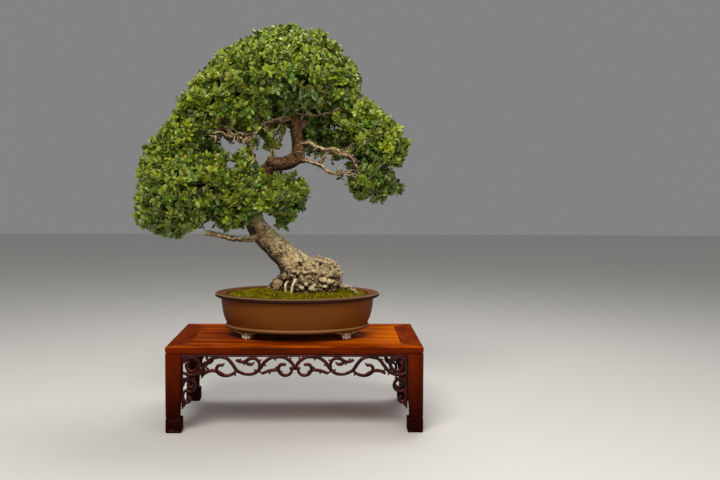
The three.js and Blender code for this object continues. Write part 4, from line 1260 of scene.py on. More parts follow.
# The tree's wood: each limb is a list of (x, y, z, radius) from its foot to its tip
TRUNK = [
    (22, 0, 352, 58), (2, 0, 412, 50), (-30, -2, 450, 38), (-66, -2, 484, 34),
    (-108, 0, 528, 30), (-132, 6, 574, 26), (-124, 12, 628, 23), (-102, 14, 676, 21),
    (-70, 8, 710, 20), (-30, 0, 716, 20), (-1, -5, 734, 20), (1, -6, 772, 18),
    (-5, -2, 815, 16), (-6, 4, 856, 15), (4, 10, 895, 12), (0, 6, 945, 9), (4, 0, 1000, 6),
    (0, 0, 1045, 4),
]
LIMBS = [
    [(-74, -4, 712, 11), (-74, -10, 732, 9), (-68, -14, 748, 7), (-62, -17, 760, 3),
     (-52, -20, 778, 2.4), (-32, -20, 802, 2.2)],
    [(-118, -6, 552, 12), (-163, -28, 545, 10), (-230, -36, 560, 8), (-320, -34, 566, 6),
     (-420, -20, 572, 4)],
    [(-126, 8, 622, 12), (-180, -10, 642, 10), (-250, -18, 656, 8), (-330, -8, 652, 6),
     (-410, 0, 646, 4)],
    [(-250, -18, 656, 7), (-290, 0, 690, 6), (-340, 6, 726, 5), (-385, 6, 742, 4)],
    [(-180, -10, 642, 8), (-240, -60, 640, 6), (-300, -105, 640, 4)],
    [(-108, 14, 664, 12), (-150, 60, 660, 9), (-200, 100, 644, 7), (-250, 130, 636, 4)],
    [(-8, -2, 846, 12), (-42, -14, 838, 10), (-82, -26, 826, 9), (-118, -36, 798, 8),
     (-144, -42, 774, 8.5), (-166, -42, 784, 8), (-184, -42, 797, 7.5), (-199, -42, 812, 7),
     (-240, -34, 822, 6), (-300, -12, 836, 4)],
    [(-118, -37, 800, 6), (-134, -44, 792, 5), (-158, -50, 794, 4.5), (-176, -52, 808, 3)],
    [(-82, -26, 828, 6), (-98, -34, 850, 5), (-124, -40, 862, 4), (-160, -46, 866, 3)],
    [(-42, -14, 838, 6), (-54, -30, 812, 4.5), (-78, -40, 802, 4), (-96, -46, 808, 3)],
    [(-197, -42, 812, 6), (-230, -46, 798, 5), (-262, -48, 798, 4.5), (-300, -44, 786, 3.5)],
    [(-197, -42, 810, 5), (-222, -50, 802, 4.5), (-250, -56, 804, 4), (-290, -50, 815, 3.5)],
    [(-150, -42, 780, 5), (-186, -52, 789, 4.5), (-210, -60, 798, 4), (-230, -66, 795, 3)],
    [(-132, -38, 786, 3.5), (-126, -38, 748, 3), (-121, -38, 720, 3)],
    [(6, -6, 768, 11), (30, -20, 771, 9), (56, -30, 760, 8), (82, -38, 750, 8),
     (102, -42, 750, 10), (124, -44, 743, 8), (146, -46, 736, 7), (160, -46, 714, 6),
     (172, -42, 690, 5), (196, -30, 672, 4)],
    [(118, -44, 745, 6), (150, -34, 760, 5), (190, -16, 776, 4.5), (236, -4, 782, 4),
     (268, -2, 762, 3.5)],
    [(4, -6, 726, 10), (33, -26, 720, 7), (63, -38, 711, 6), (83, -42, 690, 5.5),
     (110, -46, 687, 5), (142, -48, 693, 5), (164, -46, 684, 4.5), (190, -36, 664, 4)],
    [(60, -37, 712, 5), (74, -40, 728, 4.5), (84, -40, 744, 5)],
    [(-4, 0, 812, 12), (50, 16, 842, 9), (110, 18, 846, 7), (180, 10, 820, 5), (235, 4, 808, 4)],
    [(0, 2, 752, 11), (36, 46, 776, 8), (78, 90, 796, 6), (110, 104, 806, 4)],
    [(-5, 4, 860, 12), (-56, 14, 900, 9), (-116, 8, 930, 7), (-190, 0, 948, 4)],
    [(0, 8, 872, 11), (46, -2, 902, 8), (84, -4, 930, 6), (108, 0, 958, 4)],
    [(0, 2, 880, 9), (-18, -52, 910, 7), (-36, -100, 934, 4)],
    [(0, 12, 872, 9), (-30, 74, 895, 7), (-62, 124, 905, 4)],
    [(-130, 2, 584, 11), (-124, -36, 604, 8), (-114, -70, 626, 6), (-96, -94, 640, 4)],
    [(-124, 10, 622, 11), (-84, 24, 640, 8), (-50, 30, 632, 6), (-20, 30, 612, 4)],
    [(-126, -6, 548, 9), (-160, -34, 566, 7), (-196, -46, 576, 4)],
    [(0, 0, 862, 6), (20, -32, 868, 4), (50, -52, 874, 3.5), (86, -62, 868, 2.6)],
    [(0, 0, 850, 6), (24, -34, 850, 4), (60, -54, 846, 3), (100, -58, 856, 2.4)],
    [(2, 0, 872, 6), (26, -36, 884, 4), (56, -62, 898, 3), (92, -68, 892, 2.4)],
    [(-226, -30, 650, 6), (-246, -66, 664, 5), (-270, -86, 664, 4.6), (-300, -94, 652, 4),
     (-332, -98, 650, 3.2)],
    [(-246, -66, 664, 5), (-226, -78, 652, 4), (-204, -80, 648, 3)],
]
LIMB_THINNING = 0.86
CUT_STUB = [(-102, -10, 512, 11), (-140, -28, 503, 8), (-178, -38, 505, 7), (-217, -46, 514, 7),
            (-250, -50, 521, 7.4)]
# Two smooth pale root tips in front of the burl
TUSKS = [
    [(-24, -40, 386, 2.8), (-31, -58, 379, 2.9), (-32, -62, 371, 2.7), (-27, -64, 346, 2.0)],
    [(0, -42, 396, 3.6), (-6, -62, 388, 3.9), (-11, -66, 376, 3.7), (-15, -68, 346, 2.4)],
]
ROOTS = [
    [(-22, -10, 396, 11), (-36, -20, 384, 8), (-55, -27, 376, 12), (-56, -28, 362, 13),
     (-54, -30, 340, 9)],
    [(96, -10, 384, 11), (122, -18, 372, 7.5), (138, -20, 367, 6.5), (152, -22, 363, 6.5),
     (163, -24, 356, 5.5), (172, -26, 340, 5)],
    [(80, 40, 390, 16), (108, 58, 368, 13), (130, 72, 346, 10), (144, 80, 330, 7)],
    [(4, 52, 396, 15), (-8, 76, 372, 12), (-18, 96, 346, 10), (-22, 108, 330, 7)],
    [(-34, 24, 402, 14), (-60, 40, 378, 12), (-84, 56, 350, 10), (-98, 64, 330, 7)],
]
BURL_AT = np.array([40.0, 0.0, 397.0])
BURL_SIZE = np.array([84.0, 72.0, 54.0])
# Larger pale knobs on the burl: (x, y, z, radius)
BURL_KNOBS = [
    (10, -40, 368, 26), (50, -44, 366, 30), (86, -34, 368, 26), (-18, 0, 372, 26),
    (-28, 10, 386, 22), (-8, -28, 394, 20),
    (98, -56, 386, 10), (86, -62, 404, 9), (112, -30, 404, 10), (88, -10, 438, 12),
    (62, 10, 446, 11), (30, -30, 438, 10), (112, 24, 392, 12), (60, 62, 400, 13),
]
# Smooth pale knobs low on the burl's front: (x, y, z, half width, depth, half height)
SMOOTH_KNOBS = [
    (76, -64, 391, 11, 13, 9), (90, -62, 386, 10, 13, 8), (42, -68, 367, 10, 12, 9),
    (48, -66, 376, 7, 10, 6), (78, -62, 373, 9, 12, 6), (26, -68, 380, 7, 10, 7),
    (14, -64, 369, 8, 10, 8), (-55, -27, 375, 15, 14, 15), (104, -46, 378, 8, 10, 8),
]
BALL_ROOT = (-55, -27, 375)
BARK_CELL = 6.6
BARK_STRETCH = 0.3
BARK_TWIST = 0.004
NODULES = 300
NODULE_CELL = 5.6
NODULE_GROUP = 14.0
# Below this height the bark is old and weathered
OLD_BARK_TOP = 560.0


def build_trunk(settings):
    """The burl, surface roots and trunk, with furrowed bark."""
    random = np.random.default_rng(5)
    body = Shape()
    path = smooth_path(TRUNK, 5.0)
    swell = 1 + 0.07 * wander(path[:, :3], 38.0, 2)
    rings = tube_rings(path, path[:, 3] * swell, 26)
    lumps = wander(rings.reshape(-1, 3), 24.0, 4).reshape(rings.shape[:2])
    rings = path[:, None, :3] + (rings - path[:, None, :3]) * (1 + 0.1 * lumps[:, :, None])
    body.add(*ring_stack(rings))
    points, faces = ball((0, 0, 0), 1.0, 28, 44)
    lumpy = 1 + 0.13 * wander(points, 0.42, 6)
    body.add(BURL_AT + points * BURL_SIZE * lumpy[:, None], faces)
    for root in ROOTS:
        line = smooth_path(root, 4.0)
        line[:, :3] += 1.2 * sway(line[:, :3], 16.0, 1, 2, 3)
        body.add(*tube(line, line[:, 3], 12))
    for limb in LIMBS + [CUT_STUB]:
        start = smooth_path(limb, 4.0)[:7]
        flare = np.linspace(1.45, 0.95, len(start))
        body.add(*tube(start, start[:, 3] * flare, 12))
    for x, y, z, radius in BURL_KNOBS:
        body.add(*ball((x, y, z), radius * np.array([1, 0.8, 0.85]), 8, 12))
    for knob in SMOOTH_KNOBS:
        points, faces = ball(knob[:3], knob[3:], 12, 18)
        centre = np.array(knob[:3])
        dents = 1 + 0.35 * wander(points, 9.0, 29)
        body.add(centre + (points - centre) * dents[:, None], faces)
    spread = unit(random.normal(size=(NODULES, 3)))
    spread = spread[spread[:, 2] > -0.55]
    for spoke in spread:
        size = random.uniform(5.5, 10.0) if random.random() < 0.22 else random.uniform(2.6, 5.0)
        lift = 1 + 0.13 * noise.noise(Vector(spoke) / 0.42 + Vector((102, 31, 58)))
        at = BURL_AT + spoke * BURL_SIZE * lift * random.uniform(0.99, 1.05)
        body.add(*ball(at, size * random.uniform(0.75, 1.2, 3), 6, 8))
    blank = placed("trunk_blank", body.mesh("trunk_blank"))
    skin = blank.modifiers.new("skin", "REMESH")
    skin.mode = "VOXEL"
    skin.voxel_size = settings.grain_size * MM
    soft = blank.modifiers.new("soft", "SMOOTH")
    soft.factor = 0.5
    soft.iterations = 1
    mesh = applied(blank)
    bpy.data.objects.remove(blank)
    carve_bark(mesh, path, settings.furrow_depth)
    finish_piece(mesh, "trunk", weathered_bark(settings), ["trunk_and_branches"])


def mesh_points(mesh):
    """A mesh's points in millimetres about the stand's middle."""
    flat = np.zeros(len(mesh.vertices) * 3, np.float32)
    mesh.vertices.foreach_get("co", flat)
    return (flat.reshape(-1, 3) - MIDDLE) / MM


def bark_places(points, path):
    """The trunk's points unrolled along it, so that a pattern there runs lengthwise and twists."""
    axis = path[:, :3]
    along, first, second = path_frames(axis)
    stations = np.concatenate([[0], np.cumsum(np.linalg.norm(np.diff(axis, axis=0), axis=1))])
    nearest = np.concatenate([
        np.argmin(((part[:, None, :] - axis[None]) ** 2).sum(axis=2), axis=1)
        for part in np.array_split(points, 40)])
    offset = points - axis[nearest]
    run = stations[nearest] + (offset * along[nearest]).sum(axis=1)
    wide = (offset * first[nearest]).sum(axis=1)
    deep = (offset * second[nearest]).sum(axis=1)
    turn = run * BARK_TWIST
    flat = np.stack([
        wide * np.cos(turn) - deep * np.sin(turn),
        wide * np.sin(turn) + deep * np.cos(turn),
        run * BARK_STRETCH], axis=1)
    return flat + 3.2 * sway(flat, 9.0, 11, 12, 13)


def carve_bark(mesh, path, depth):
    """Cuts furrows between long plates of bark, and pits between the burl's nodules."""
    points = mesh_points(mesh)
    normals = np.zeros(len(points) * 3, np.float32)
    mesh.vertices.foreach_get("normal", normals)
    normals = normals.reshape(-1, 3)
    flat = bark_places(points, path)
    plates = cell_pattern(flat, BARK_CELL, 0.22)
    fine = cell_pattern(flat * (1, 1, 0.8), BARK_CELL * 0.5, 0.16)
    inside = np.linalg.norm((points - BURL_AT) / (BURL_SIZE * 1.09), axis=1)
    burl = np.clip((1.06 - inside) / 0.12, 0, 1)
    burl = np.maximum(burl, np.clip((412 - points[:, 2]) / 14, 0, 1))
    warped = points + 6.0 * sway(points, 16.0, 15, 16, 17)
    small = cell_pattern(warped, NODULE_CELL, 0.26)
    large = cell_pattern(warped, NODULE_GROUP, 0.16)
    grouped = np.clip(0.28 + 2.0 * wander(points, 24.0, 27), 0, 1)
    smooth = smooth_share(points)
    low = np.clip((640 - points[:, 2]) / 160, 0.0, 1.0)
    loose = np.clip(0.75 + 1.3 * wander(points, 26.0, 25), 0.15, 1.2)
    furrow = depth * (0.62 + 0.38 * low) * loose
    trunk_move = 1.2 * (0.45 - plates[0]) - furrow * (0.8 * plates[1] + 0.3 * fine[1])
    pits = np.clip(wander(points, 11.0, 23) * 2.6 - 0.3, 0, 1)
    small_move = 4.2 * (0.45 - small[0]) - 2.4 * small[1]
    large_move = 7.5 * (0.45 - large[0]) - 3.6 * large[1] + 1.2 * (0.45 - small[0])
    burl_move = small_move * (1 - grouped) + large_move * grouped - 5.5 * pits
    rough = 0.6 * wander(points, 3.2, 21)
    move = trunk_move * (1 - burl) + burl_move * burl * (1 - smooth) + rough
    points = points + normals * move[:, None]
    mesh.vertices.foreach_set("co", in_frame(points).astype(np.float32).ravel())
    hollow = np.maximum.reduce([small[1] * (1 - 0.7 * grouped), large[1] * grouped, pits])
    crack = np.maximum(plates[1], 0.6 * fine[1]) * np.clip(loose, 0.3, 1) * (1 - burl)
    colour_bark(mesh, points, normals, crack + hollow * burl * (1 - smooth), burl, smooth)


def colour_bark(mesh, points, normals, crack, burl, smooth):
    """Keeps on the trunk's points how cracked, pale, red and cut its bark looks. It is pale
    low down and where the light falls from the upper right, and darker where it doesn't."""
    height = points[:, 2]
    old = height < OLD_BARK_TOP
    lit = normals @ unit(np.array([0.62, -0.1, 0.78]))
    pale = np.clip((566 - height) / 100, 0.0, 0.72) * (1 - 0.3 * burl)
    # Painted light: the old bark is painted paler where it faces the light from the upper right.
    pale = pale + 0.4 * np.clip(lit - 0.2, 0, 0.7) * old
    # Painted shade: the side away from that light is painted darker through the crack value.
    crack = crack + 0.85 * np.clip(-lit - 0.06, 0, 0.8) * (1 - 0.5 * burl)
    from_ball = np.linalg.norm(points - np.array(BALL_ROOT), axis=1)
    pale = pale * (1 - 0.5 * (from_ball < 17))
    # Painted shadow: a dark band round the ball root's right side, where it meets the burl.
    gap = (from_ball > 17) & (from_ball < 27) & (points[:, 0] > BALL_ROOT[0] - 4) & (height < 396)
    crack = np.clip(crack + 0.8 * gap, 0, 1)
    fleck = np.clip(0.3 + 2.4 * wander(points, 8.0, 45), 0, 1) * old
    cut = 0.8 * smooth * (points[:, 0] > -30)
    # Painted light: cream flecks on the lit side of the old bark, kept in the cut value.
    cut = np.maximum(cut, fleck * np.clip(lit - 0.05, 0, 0.8) * (1 - 0.6 * burl))
    store_values(mesh, crack=crack, pale=pale, red=np.clip((height - 540) / 130, 0, 0.85), cut=cut)


def smooth_share(points):
    """How smooth points are that lie on the smooth knobs of the burl, from 0 to 0.62."""
    share = np.zeros(len(points))
    for knob in SMOOTH_KNOBS:
        reach = np.linalg.norm((points - np.array(knob[:3])) / np.array(knob[3:]), axis=1)
        share = np.maximum(share, np.clip((1.25 - reach) / 0.3, 0, 0.62))
    return share


def cell_pattern(points, size, gap):
    """Round cells of a size: the distance to each cell's middle, and the cracks between them,
    which are as wide as gap, a share of the cell."""
    near = np.array([noise.voronoi(Vector(point))[0][:2] for point in points / size])
    return near[:, 0], np.clip(1.0 - (near[:, 1] - near[:, 0]) / gap, 0, 1)


def crooked(line, amount, random):
    """A limb's line with small kinks, which grow from its foot."""
    seed = random.uniform(0, 50)
    reach = np.linalg.norm(line[:, :3] - line[0, :3], axis=1)
    hold = np.clip(reach / 25, 0, 1)[:, None]
    for size, share in ((34.0, 1.0), (13.0, 0.4)):
        line[:, :3] += sway(line[:, :3], size, seed, seed + 1, seed + 2) * amount * share * hold
    return line


def add_limb(shape, line, random, sides, pale):
    """A knobbly twisted branch with shallow cracks along it."""
    swell = LIMB_THINNING + 0.3 * wander(line[:, :3], 8.0, random.uniform(0, 40))
    rings = tube_rings(line, line[:, 3] * swell, sides)
    flat = rings.reshape(-1, 3)
    rough = wander(flat, 4.5, 9).reshape(rings.shape[:2])
    ridge = wander(flat * (1, 1, 0.6), 2.2, 14).reshape(rings.shape[:2])
    turn = circle(sides)[None, :]
    twist = np.arange(len(line))[:, None] * 0.16
    flute = np.cos(3 * turn + twist)
    scale = 1 + 0.24 * rough + 0.16 * ridge + 0.13 * flute
    rings = line[:, None, :3] + (rings - line[:, None, :3]) * scale[:, :, None]
    crack = np.clip(-2.0 * rough - 1.6 * ridge - 0.7 * flute - 0.3, 0, 1).ravel()
    light = pale + np.clip(0.5 * flute + 1.2 * rough, 0, 0.6).ravel()
    points, faces = ring_stack(rings)
    shape.add(points, faces, crack=crack, pale=light, red=0.35)
    for index in range(4, len(line) - 3):
        if random.random() > 0.2:
            continue
        radius = line[index, 3]
        out = unit(random.normal(size=3)) * radius * 0.7
        knob = ball(line[index, :3] + out, radius * random.uniform(0.35, 0.65), 5, 7)
        shape.add(*knob, crack=0.1, pale=pale + 0.25, red=0.3)


def add_bare_twigs(shape, line, random, count):
    """Short crooked twigs without leaves, along a branch."""
    for _ in range(count):
        index = random.integers(3, len(line) - 1)
        spot = line[index, :3].copy()
        way = unit(random.normal(0, 1, 3) + (0, -0.4, 0.3))
        nodes = [spot.copy()]
        for _ in range(random.integers(3, 6)):
            way = unit(way + random.normal(0, 0.5, 3))
            spot = spot + way * random.uniform(7, 13)
            nodes.append(spot)
        thick = min(line[index, 3] * 0.45, 2.0)
        nodes = np.clip(nodes, *crown_limits(-3))
        shape.add(*tube(nodes, np.linspace(thick, 0.6, len(nodes)), 5),
                  crack=0.05, pale=0.5, red=0.2)


def build_branches():
    """The crooked branches, the sawn stub low on the trunk and its hollow end."""
    random = np.random.default_rng(23)
    branches = Shape("crack", "pale", "red", "cut")
    for limb in LIMBS:
        thick = limb[0][3] > 7
        line = crooked(smooth_path(limb, 3.4), 5.0 if thick else 3.6, random)
        add_limb(branches, line, random, 12 if thick else 8, 0.12)
        add_bare_twigs(branches, line, random, len(line) // 8)
    for tusk in TUSKS:
        line = smooth_path(tusk, 4.0)
        swell = 1 + 0.35 * wander(line[:, :3], 6.0, 41)
        rings = tube_rings(line, line[:, 3] * swell, 12)
        rough = wander(rings.reshape(-1, 3), 3.0, 43)
        rings = rings + 0.7 * rough.reshape(rings.shape[:2])[:, :, None] * (1, 0, 0)
        crack = np.clip(-1.8 * rough - 0.25, 0, 0.6)
        branches.add(*ring_stack(rings), pale=0.9, cut=0.62, crack=crack)
    stub = crooked(smooth_path(CUT_STUB, 3.4), 3.0, random)
    stub[:, 3] *= 1.15
    add_limb(branches, stub, random, 12, 0.25)
    along = unit(stub[-1, :3] - stub[-3, :3])
    end = stub[-1, :3]
    collar = [end - along * 5, end, end + along * 1.6]
    branches.add(*tube(collar, [7.6, 8.4, 7.6], 14), crack=0.1, pale=0.5)
    branches.add(*ring_round(end + along * 2.0, along, 5.8, 2.0), cut=0.7, pale=0.6)
    branches.add(*ball(end + along * 1.9, 3.6 * (0.35 + 0.65 * (1 - np.abs(along))), 6, 10),
                 crack=1.0)
    branches.add(*ball((-8, -16, 862), (6, 5, 7), 8, 12), cut=0.9, pale=0.8)
    branches.piece("branches", bpy.data.materials["oak bark"], "bark", ["trunk_and_branches"])


def ring_round(centre, axis, radius, thickness, steps=16, sides=7):
    """A closed ring round an axis."""
    across = unit(np.cross(axis, (0.3, 0.2, 1.0)))
    other = np.cross(axis, across)
    turn = circle(steps)
    roll = circle(sides)
    spoke = np.cos(turn)[:, None] * across + np.sin(turn)[:, None] * other
    reach = radius + thickness * np.cos(roll)
    points = (centre + reach[None, :, None] * spoke[:, None, :]
              + (thickness * np.sin(roll))[None, :, None] * axis)
    faces = grid_faces(steps, sides)
    last = (steps - 1) * sides
    for side in range(sides):
        beside = (side + 1) % sides
        faces.append([last + side, last + beside, beside, side])
    return points.reshape(-1, 3), faces


# Foliage. A leaf is drawn along its midrib: (along, across, above), at a length of one
LEAF_POINTS = np.array([
    (0.0, 0.0, 0.0), (0.27, 0.46, -0.06), (0.72, 0.42, -0.11), (1.0, 0.0, -0.12),
    (0.72, -0.42, -0.11), (0.27, -0.46, -0.06), (0.5, 0.0, 0.06),
])
LEAF_FACES = [(6, 1, 0), (6, 2, 1), (6, 3, 2), (6, 4, 3), (6, 5, 4), (6, 0, 5)]
LEAF_ACROSS = [0, 1, 1, 0, 1, 1, 0]
GOLDEN_TURN = 2.39996
SHOOT_LENGTH = (16.0, 32.0)
LEAVES_PER_SHOOT = (7, 12)
TWIG_STEP = 16.0
MOST_STEPS = 24
# Loose sprays that fill the crown between its clouds: (centre, half sizes)
SPRAYS = [
    ((-103, 34, 838), (74, 46, 44)), ((88, 48, 812), (76, 54, 58)), ((168, 0, 880), (46, 84, 44)),
    ((-246, 0, 928), (70, 92, 46)), ((-318, 0, 822), (62, 92, 44)), ((-385, 0, 622), (66, 92, 38)),
    ((-150, -24, 714), (46, 56, 32)), ((-92, 14, 764), (26, 30, 15)), ((222, 0, 776), (60, 82, 46)),
    ((222, 0, 684), (62, 66, 32)), ((28, 20, 890), (96, 70, 46)), ((-210, 20, 806), (88, 60, 30)),
    ((-160, -48, 884), (84, 62, 34)), ((10, -62, 896), (74, 60, 28)), ((-134, -10, 738), (15, 34, 26)),
]
# How far apart two forms may lie for the crown's skin to bridge them
BRIDGE = 30.0
# The crown's outline from the front, as (x, z) clockwise from its far left tip
CROWN_OUTLINE = np.array([
    (-472, 548), (-454, 610), (-443, 674), (-438, 715), (-424, 758), (-386, 799), (-338, 850),
    (-329, 893), (-292, 937), (-259, 980), (-211, 1026), (-151, 1061), (-103, 1091), (-67, 1096),
    (-2, 1102), (19, 1093), (62, 1083), (100, 1064), (119, 1034), (135, 1015), (173, 966),
    (181, 904), (208, 883), (249, 847), (284, 818), (312, 774), (313, 748), (279, 722),
    (252, 712), (267, 673), (296, 652), (290, 627), (270, 612), (218, 606), (189, 615),
    (160, 621), (138, 650), (150, 684), (70, 700), (30, 672), (31, 622), (25, 602), (28, 580),
    (11, 557), (-4, 532), (-60, 520), (-192, 512), (-235, 566), (-267, 556), (-311, 526),
    (-332, 512), (-373, 510), (-424, 531), (-456, 548),
], float)
# Gaps that show the background: (x, z, half width, half height)
CLEARINGS = [
    (-186, 764, 37, 16), (-101, 745, 18, 38), (-21, 780, 10, 20), (102, 815, 13, 8),
    (-158, 592, 9, 14), (-79, 555, 8, 10), (-268, 656, 7, 11), (-190, 714, 15, 14),
    (-220, 936, 6, 6), (-52, 856, 5, 5),
]
# How far the leaves of a shoot reach beside its tip
LEAF_REACH = 9.0
# Where the wood shows in front of the leaves: (x, z, half width, half height)
TRUNK_VIEW = [
    (-2, 800, 30, 66), (-34, 722, 56, 28), (56, 748, 50, 20), (126, 716, 62, 26),
    (-160, 794, 66, 22), (-60, 832, 56, 14), (-100, 545, 46, 34), (128, 740, 26, 14),
    (-262, 800, 40, 10), (36, 858, 44, 14), (-276, 662, 46, 8), (-226, 656, 24, 8),
]
FRONT_DEPTH = 15.0
# Shoots: how deep a hidden one lies, and which share stands out or lies far in
BURIED_DEPTH = 24.0
PROUD_SHARE = 0.08
DEEP_SHARE = 0.2
# Where the foliage in front is thin: (x, z, half width, half height, share left out)
THIN_PLACES = [
    (-140, 850, 110, 26, 0.55), (60, 876, 80, 36, 0.55), (208, 664, 86, 76, 0.6),
    (-20, 566, 56, 54, 0.6), (-200, 566, 66, 36, 0.5), (-290, 640, 70, 26, 0.5),
    (-330, 580, 60, 26, 0.35), (120, 780, 60, 30, 0.45), (-230, 740, 60, 34, 0.5),
    (-110, 640, 60, 20, 0.3), (10, 960, 30, 20, 0.45), (-90, 900, 30, 14, 0.5),
]
# How much of that thinning the back has
BACK_THINNING = 0.55
# How much darker the leaves are painted where shade falls on them, and where: (x, z, half width, half
# height)
PAINTED_LEAF_SHADE = 0.32
SHADED_LEAF_PLACES = [
    (204, 668, 112, 82), (-10, 560, 60, 56), (60, 800, 60, 50), (-60, 690, 60, 20),
    (-120, 560, 60, 30), (0, 880, 110, 30), (-230, 760, 60, 40),
]


class Cloud:
    """One cloud of leaves, from the simple solid that stands for it in the frame."""

    def __init__(self, name):
        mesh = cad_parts[name].data
        self.name = name
        points = mesh_points(mesh)
        mesh.calc_loop_triangles()
        corners = np.array([tuple(part.vertices) for part in mesh.loop_triangles])
        self.corners = points[corners]
        edge = np.cross(self.corners[:, 1] - self.corners[:, 0],
                        self.corners[:, 2] - self.corners[:, 0])
        self.area = np.linalg.norm(edge, axis=1) / 2
        self.normals = unit(edge)
        self.centre = (points.min(axis=0) + points.max(axis=0)) / 2
        self.half = (points.max(axis=0) - points.min(axis=0)) / 2

    def surface(self, spacing, random):
        """Random points on the cloud's surface with the outward direction there."""
        count = int(self.area.sum() / spacing)
        chosen = random.choice(len(self.area), count, p=self.area / self.area.sum())
        first, second = random.random((2, count))
        fold = first + second > 1
        first[fold], second[fold] = 1 - first[fold], 1 - second[fold]
        corner = self.corners[chosen]
        place = (corner[:, 0] + first[:, None] * (corner[:, 1] - corner[:, 0])
                 + second[:, None] * (corner[:, 2] - corner[:, 0]))
        return place, self.normals[chosen]


class Spray:
    """A loose spray of leaves between the clouds, as an ellipsoid."""

    def __init__(self, centre, half):
        self.centre = np.array(centre, float)
        self.half = np.array(half, float)

    def surface(self, spacing, random):
        """Random points on the spray's surface with the outward direction there."""
        size = (self.half[0] * self.half[1] * self.half[2]) ** (1 / 3)
        count = int(4 * math.pi * size ** 2 / spacing)
        spoke = unit(random.normal(size=(count, 3)))
        return self.centre + spoke * self.half, unit(spoke / self.half)


def crown_depth(points, forms):
    """How deep points lie under the skin drawn smoothly over all the forms, and how deep
    they lie in the deepest single one."""
    total = np.zeros(len(points))
    deepest = np.full(len(points), -1e3)
    for form in forms:
        reach = np.linalg.norm((points - form.centre) / form.half, axis=1)
        inside = (1 - reach) * form.half.mean()
        total += np.exp(inside / BRIDGE)
        deepest = np.maximum(deepest, inside)
    return BRIDGE * np.log(total), deepest


def in_any(areas, place, margin):
    """Whether a place seen from the front falls in one of the ovals or within its margin."""
    return any(((place[0] - x) / (wide + margin)) ** 2 + ((place[1] - z) / (tall + margin)) ** 2 < 1
               for x, z, wide, tall in areas)


def seen_from_front(points):
    """Where points appear on the upright plane through the trunk, as (x, z)."""
    eye = np.array(CAMERA_AT)
    nearer = eye[1] / (eye[1] - points[:, 1:2])
    return eye[[0, 2]] + (points[:, [0, 2]] - eye[[0, 2]]) * nearer


def held_in_outline(points, margin):
    """Points moved so that, seen from the front, they lie in the crown's outline by a margin."""
    seen = seen_from_front(points)
    first = CROWN_OUTLINE
    second = np.roll(CROWN_OUTLINE, -1, axis=0)
    edge = second - first
    offset = seen[:, None, :] - first[None]
    share = np.clip((offset * edge).sum(axis=2) / (edge ** 2).sum(axis=1), 0, 1)
    near = first[None] + share[:, :, None] * edge[None]
    gaps = np.linalg.norm(seen[:, None, :] - near, axis=2)
    closest = np.argmin(gaps, axis=1)
    rows = np.arange(len(points))
    span = (first[:, 1] > seen[:, 1:2]) != (second[:, 1] > seen[:, 1:2])
    rise = np.where(edge[:, 1] == 0, 1.0, edge[:, 1])
    cross = first[:, 0] + (seen[:, 1:2] - first[:, 1]) / rise * edge[:, 0]
    inside = (span & (seen[:, :1] < cross)).sum(axis=1) % 2 == 1
    gap = np.where(inside, gaps[rows, closest], -gaps[rows, closest])
    inward = unit((seen - near[rows, closest]) * np.where(inside, 1, -1)[:, None])
    push = inward * np.clip(margin - gap, 0, None)[:, None]
    moved = points.copy()
    moved[:, [0, 2]] += push
    return moved


def shoot_places(form, forms, spacing, random):
    """Where the leafy shoots of a form end, and the direction outwards there. Hollows between
    the forms are filled up to the crown's skin, and clumps stand out from it."""
    places, outward = form.surface(spacing, random)
    count = len(places)
    buried = crown_depth(places, forms)[1] > BURIED_DEPTH
    for _ in range(2):
        depth = crown_depth(places, forms)[0]
        places = places + outward * (0.6 * np.clip(depth, 0, 26) * ~buried)[:, None]
    clumps = wander(places, 46.0, 31) + 0.5 * wander(places, 21.0, 33)
    tufts = wander(places, 12.0, 35)
    inset = 10 - 30 * clumps - 9 * tufts + random.exponential(4.0, count)
    proud = random.random(count) < PROUD_SHARE
    inset = np.where(proud, -random.uniform(6, 18, count), inset)
    deep = random.random(count) < DEEP_SHARE
    inset = np.where(deep, random.uniform(16, 46, count), inset)
    free = places - outward * np.maximum(inset, -14.0)[:, None]
    margin = np.where(proud, 1.0, np.clip(24 - 38 * clumps - 20 * tufts, 5, 64))
    tips = held_in_outline(free, margin)
    crowded = np.clip(np.linalg.norm(tips - free, axis=1) / 70 - 0.1, 0, 0.7)
    tips = np.clip(tips, *crown_limits(-10))
    sparse = 0.82 * buried + 0.3 * (outward[:, 2] < -0.35) + np.clip(-0.9 * clumps - 0.1, 0, 0.5)
    sparse = np.maximum(sparse, crowded)
    kept = []
    for tip, out, seen, share in zip(tips, outward, seen_from_front(tips), sparse):
        front = tip[1] < FRONT_DEPTH
        thin = max([thin[4] for thin in THIN_PLACES if in_any([thin[:4]], seen, 0)], default=0)
        share = max(share, thin if front else BACK_THINNING * thin)
        if random.random() < share or in_any(CLEARINGS, seen, LEAF_REACH):
            continue
        if not (front and in_any(TRUNK_VIEW, seen, 0)):
            kept.append((tip, out))
    return kept


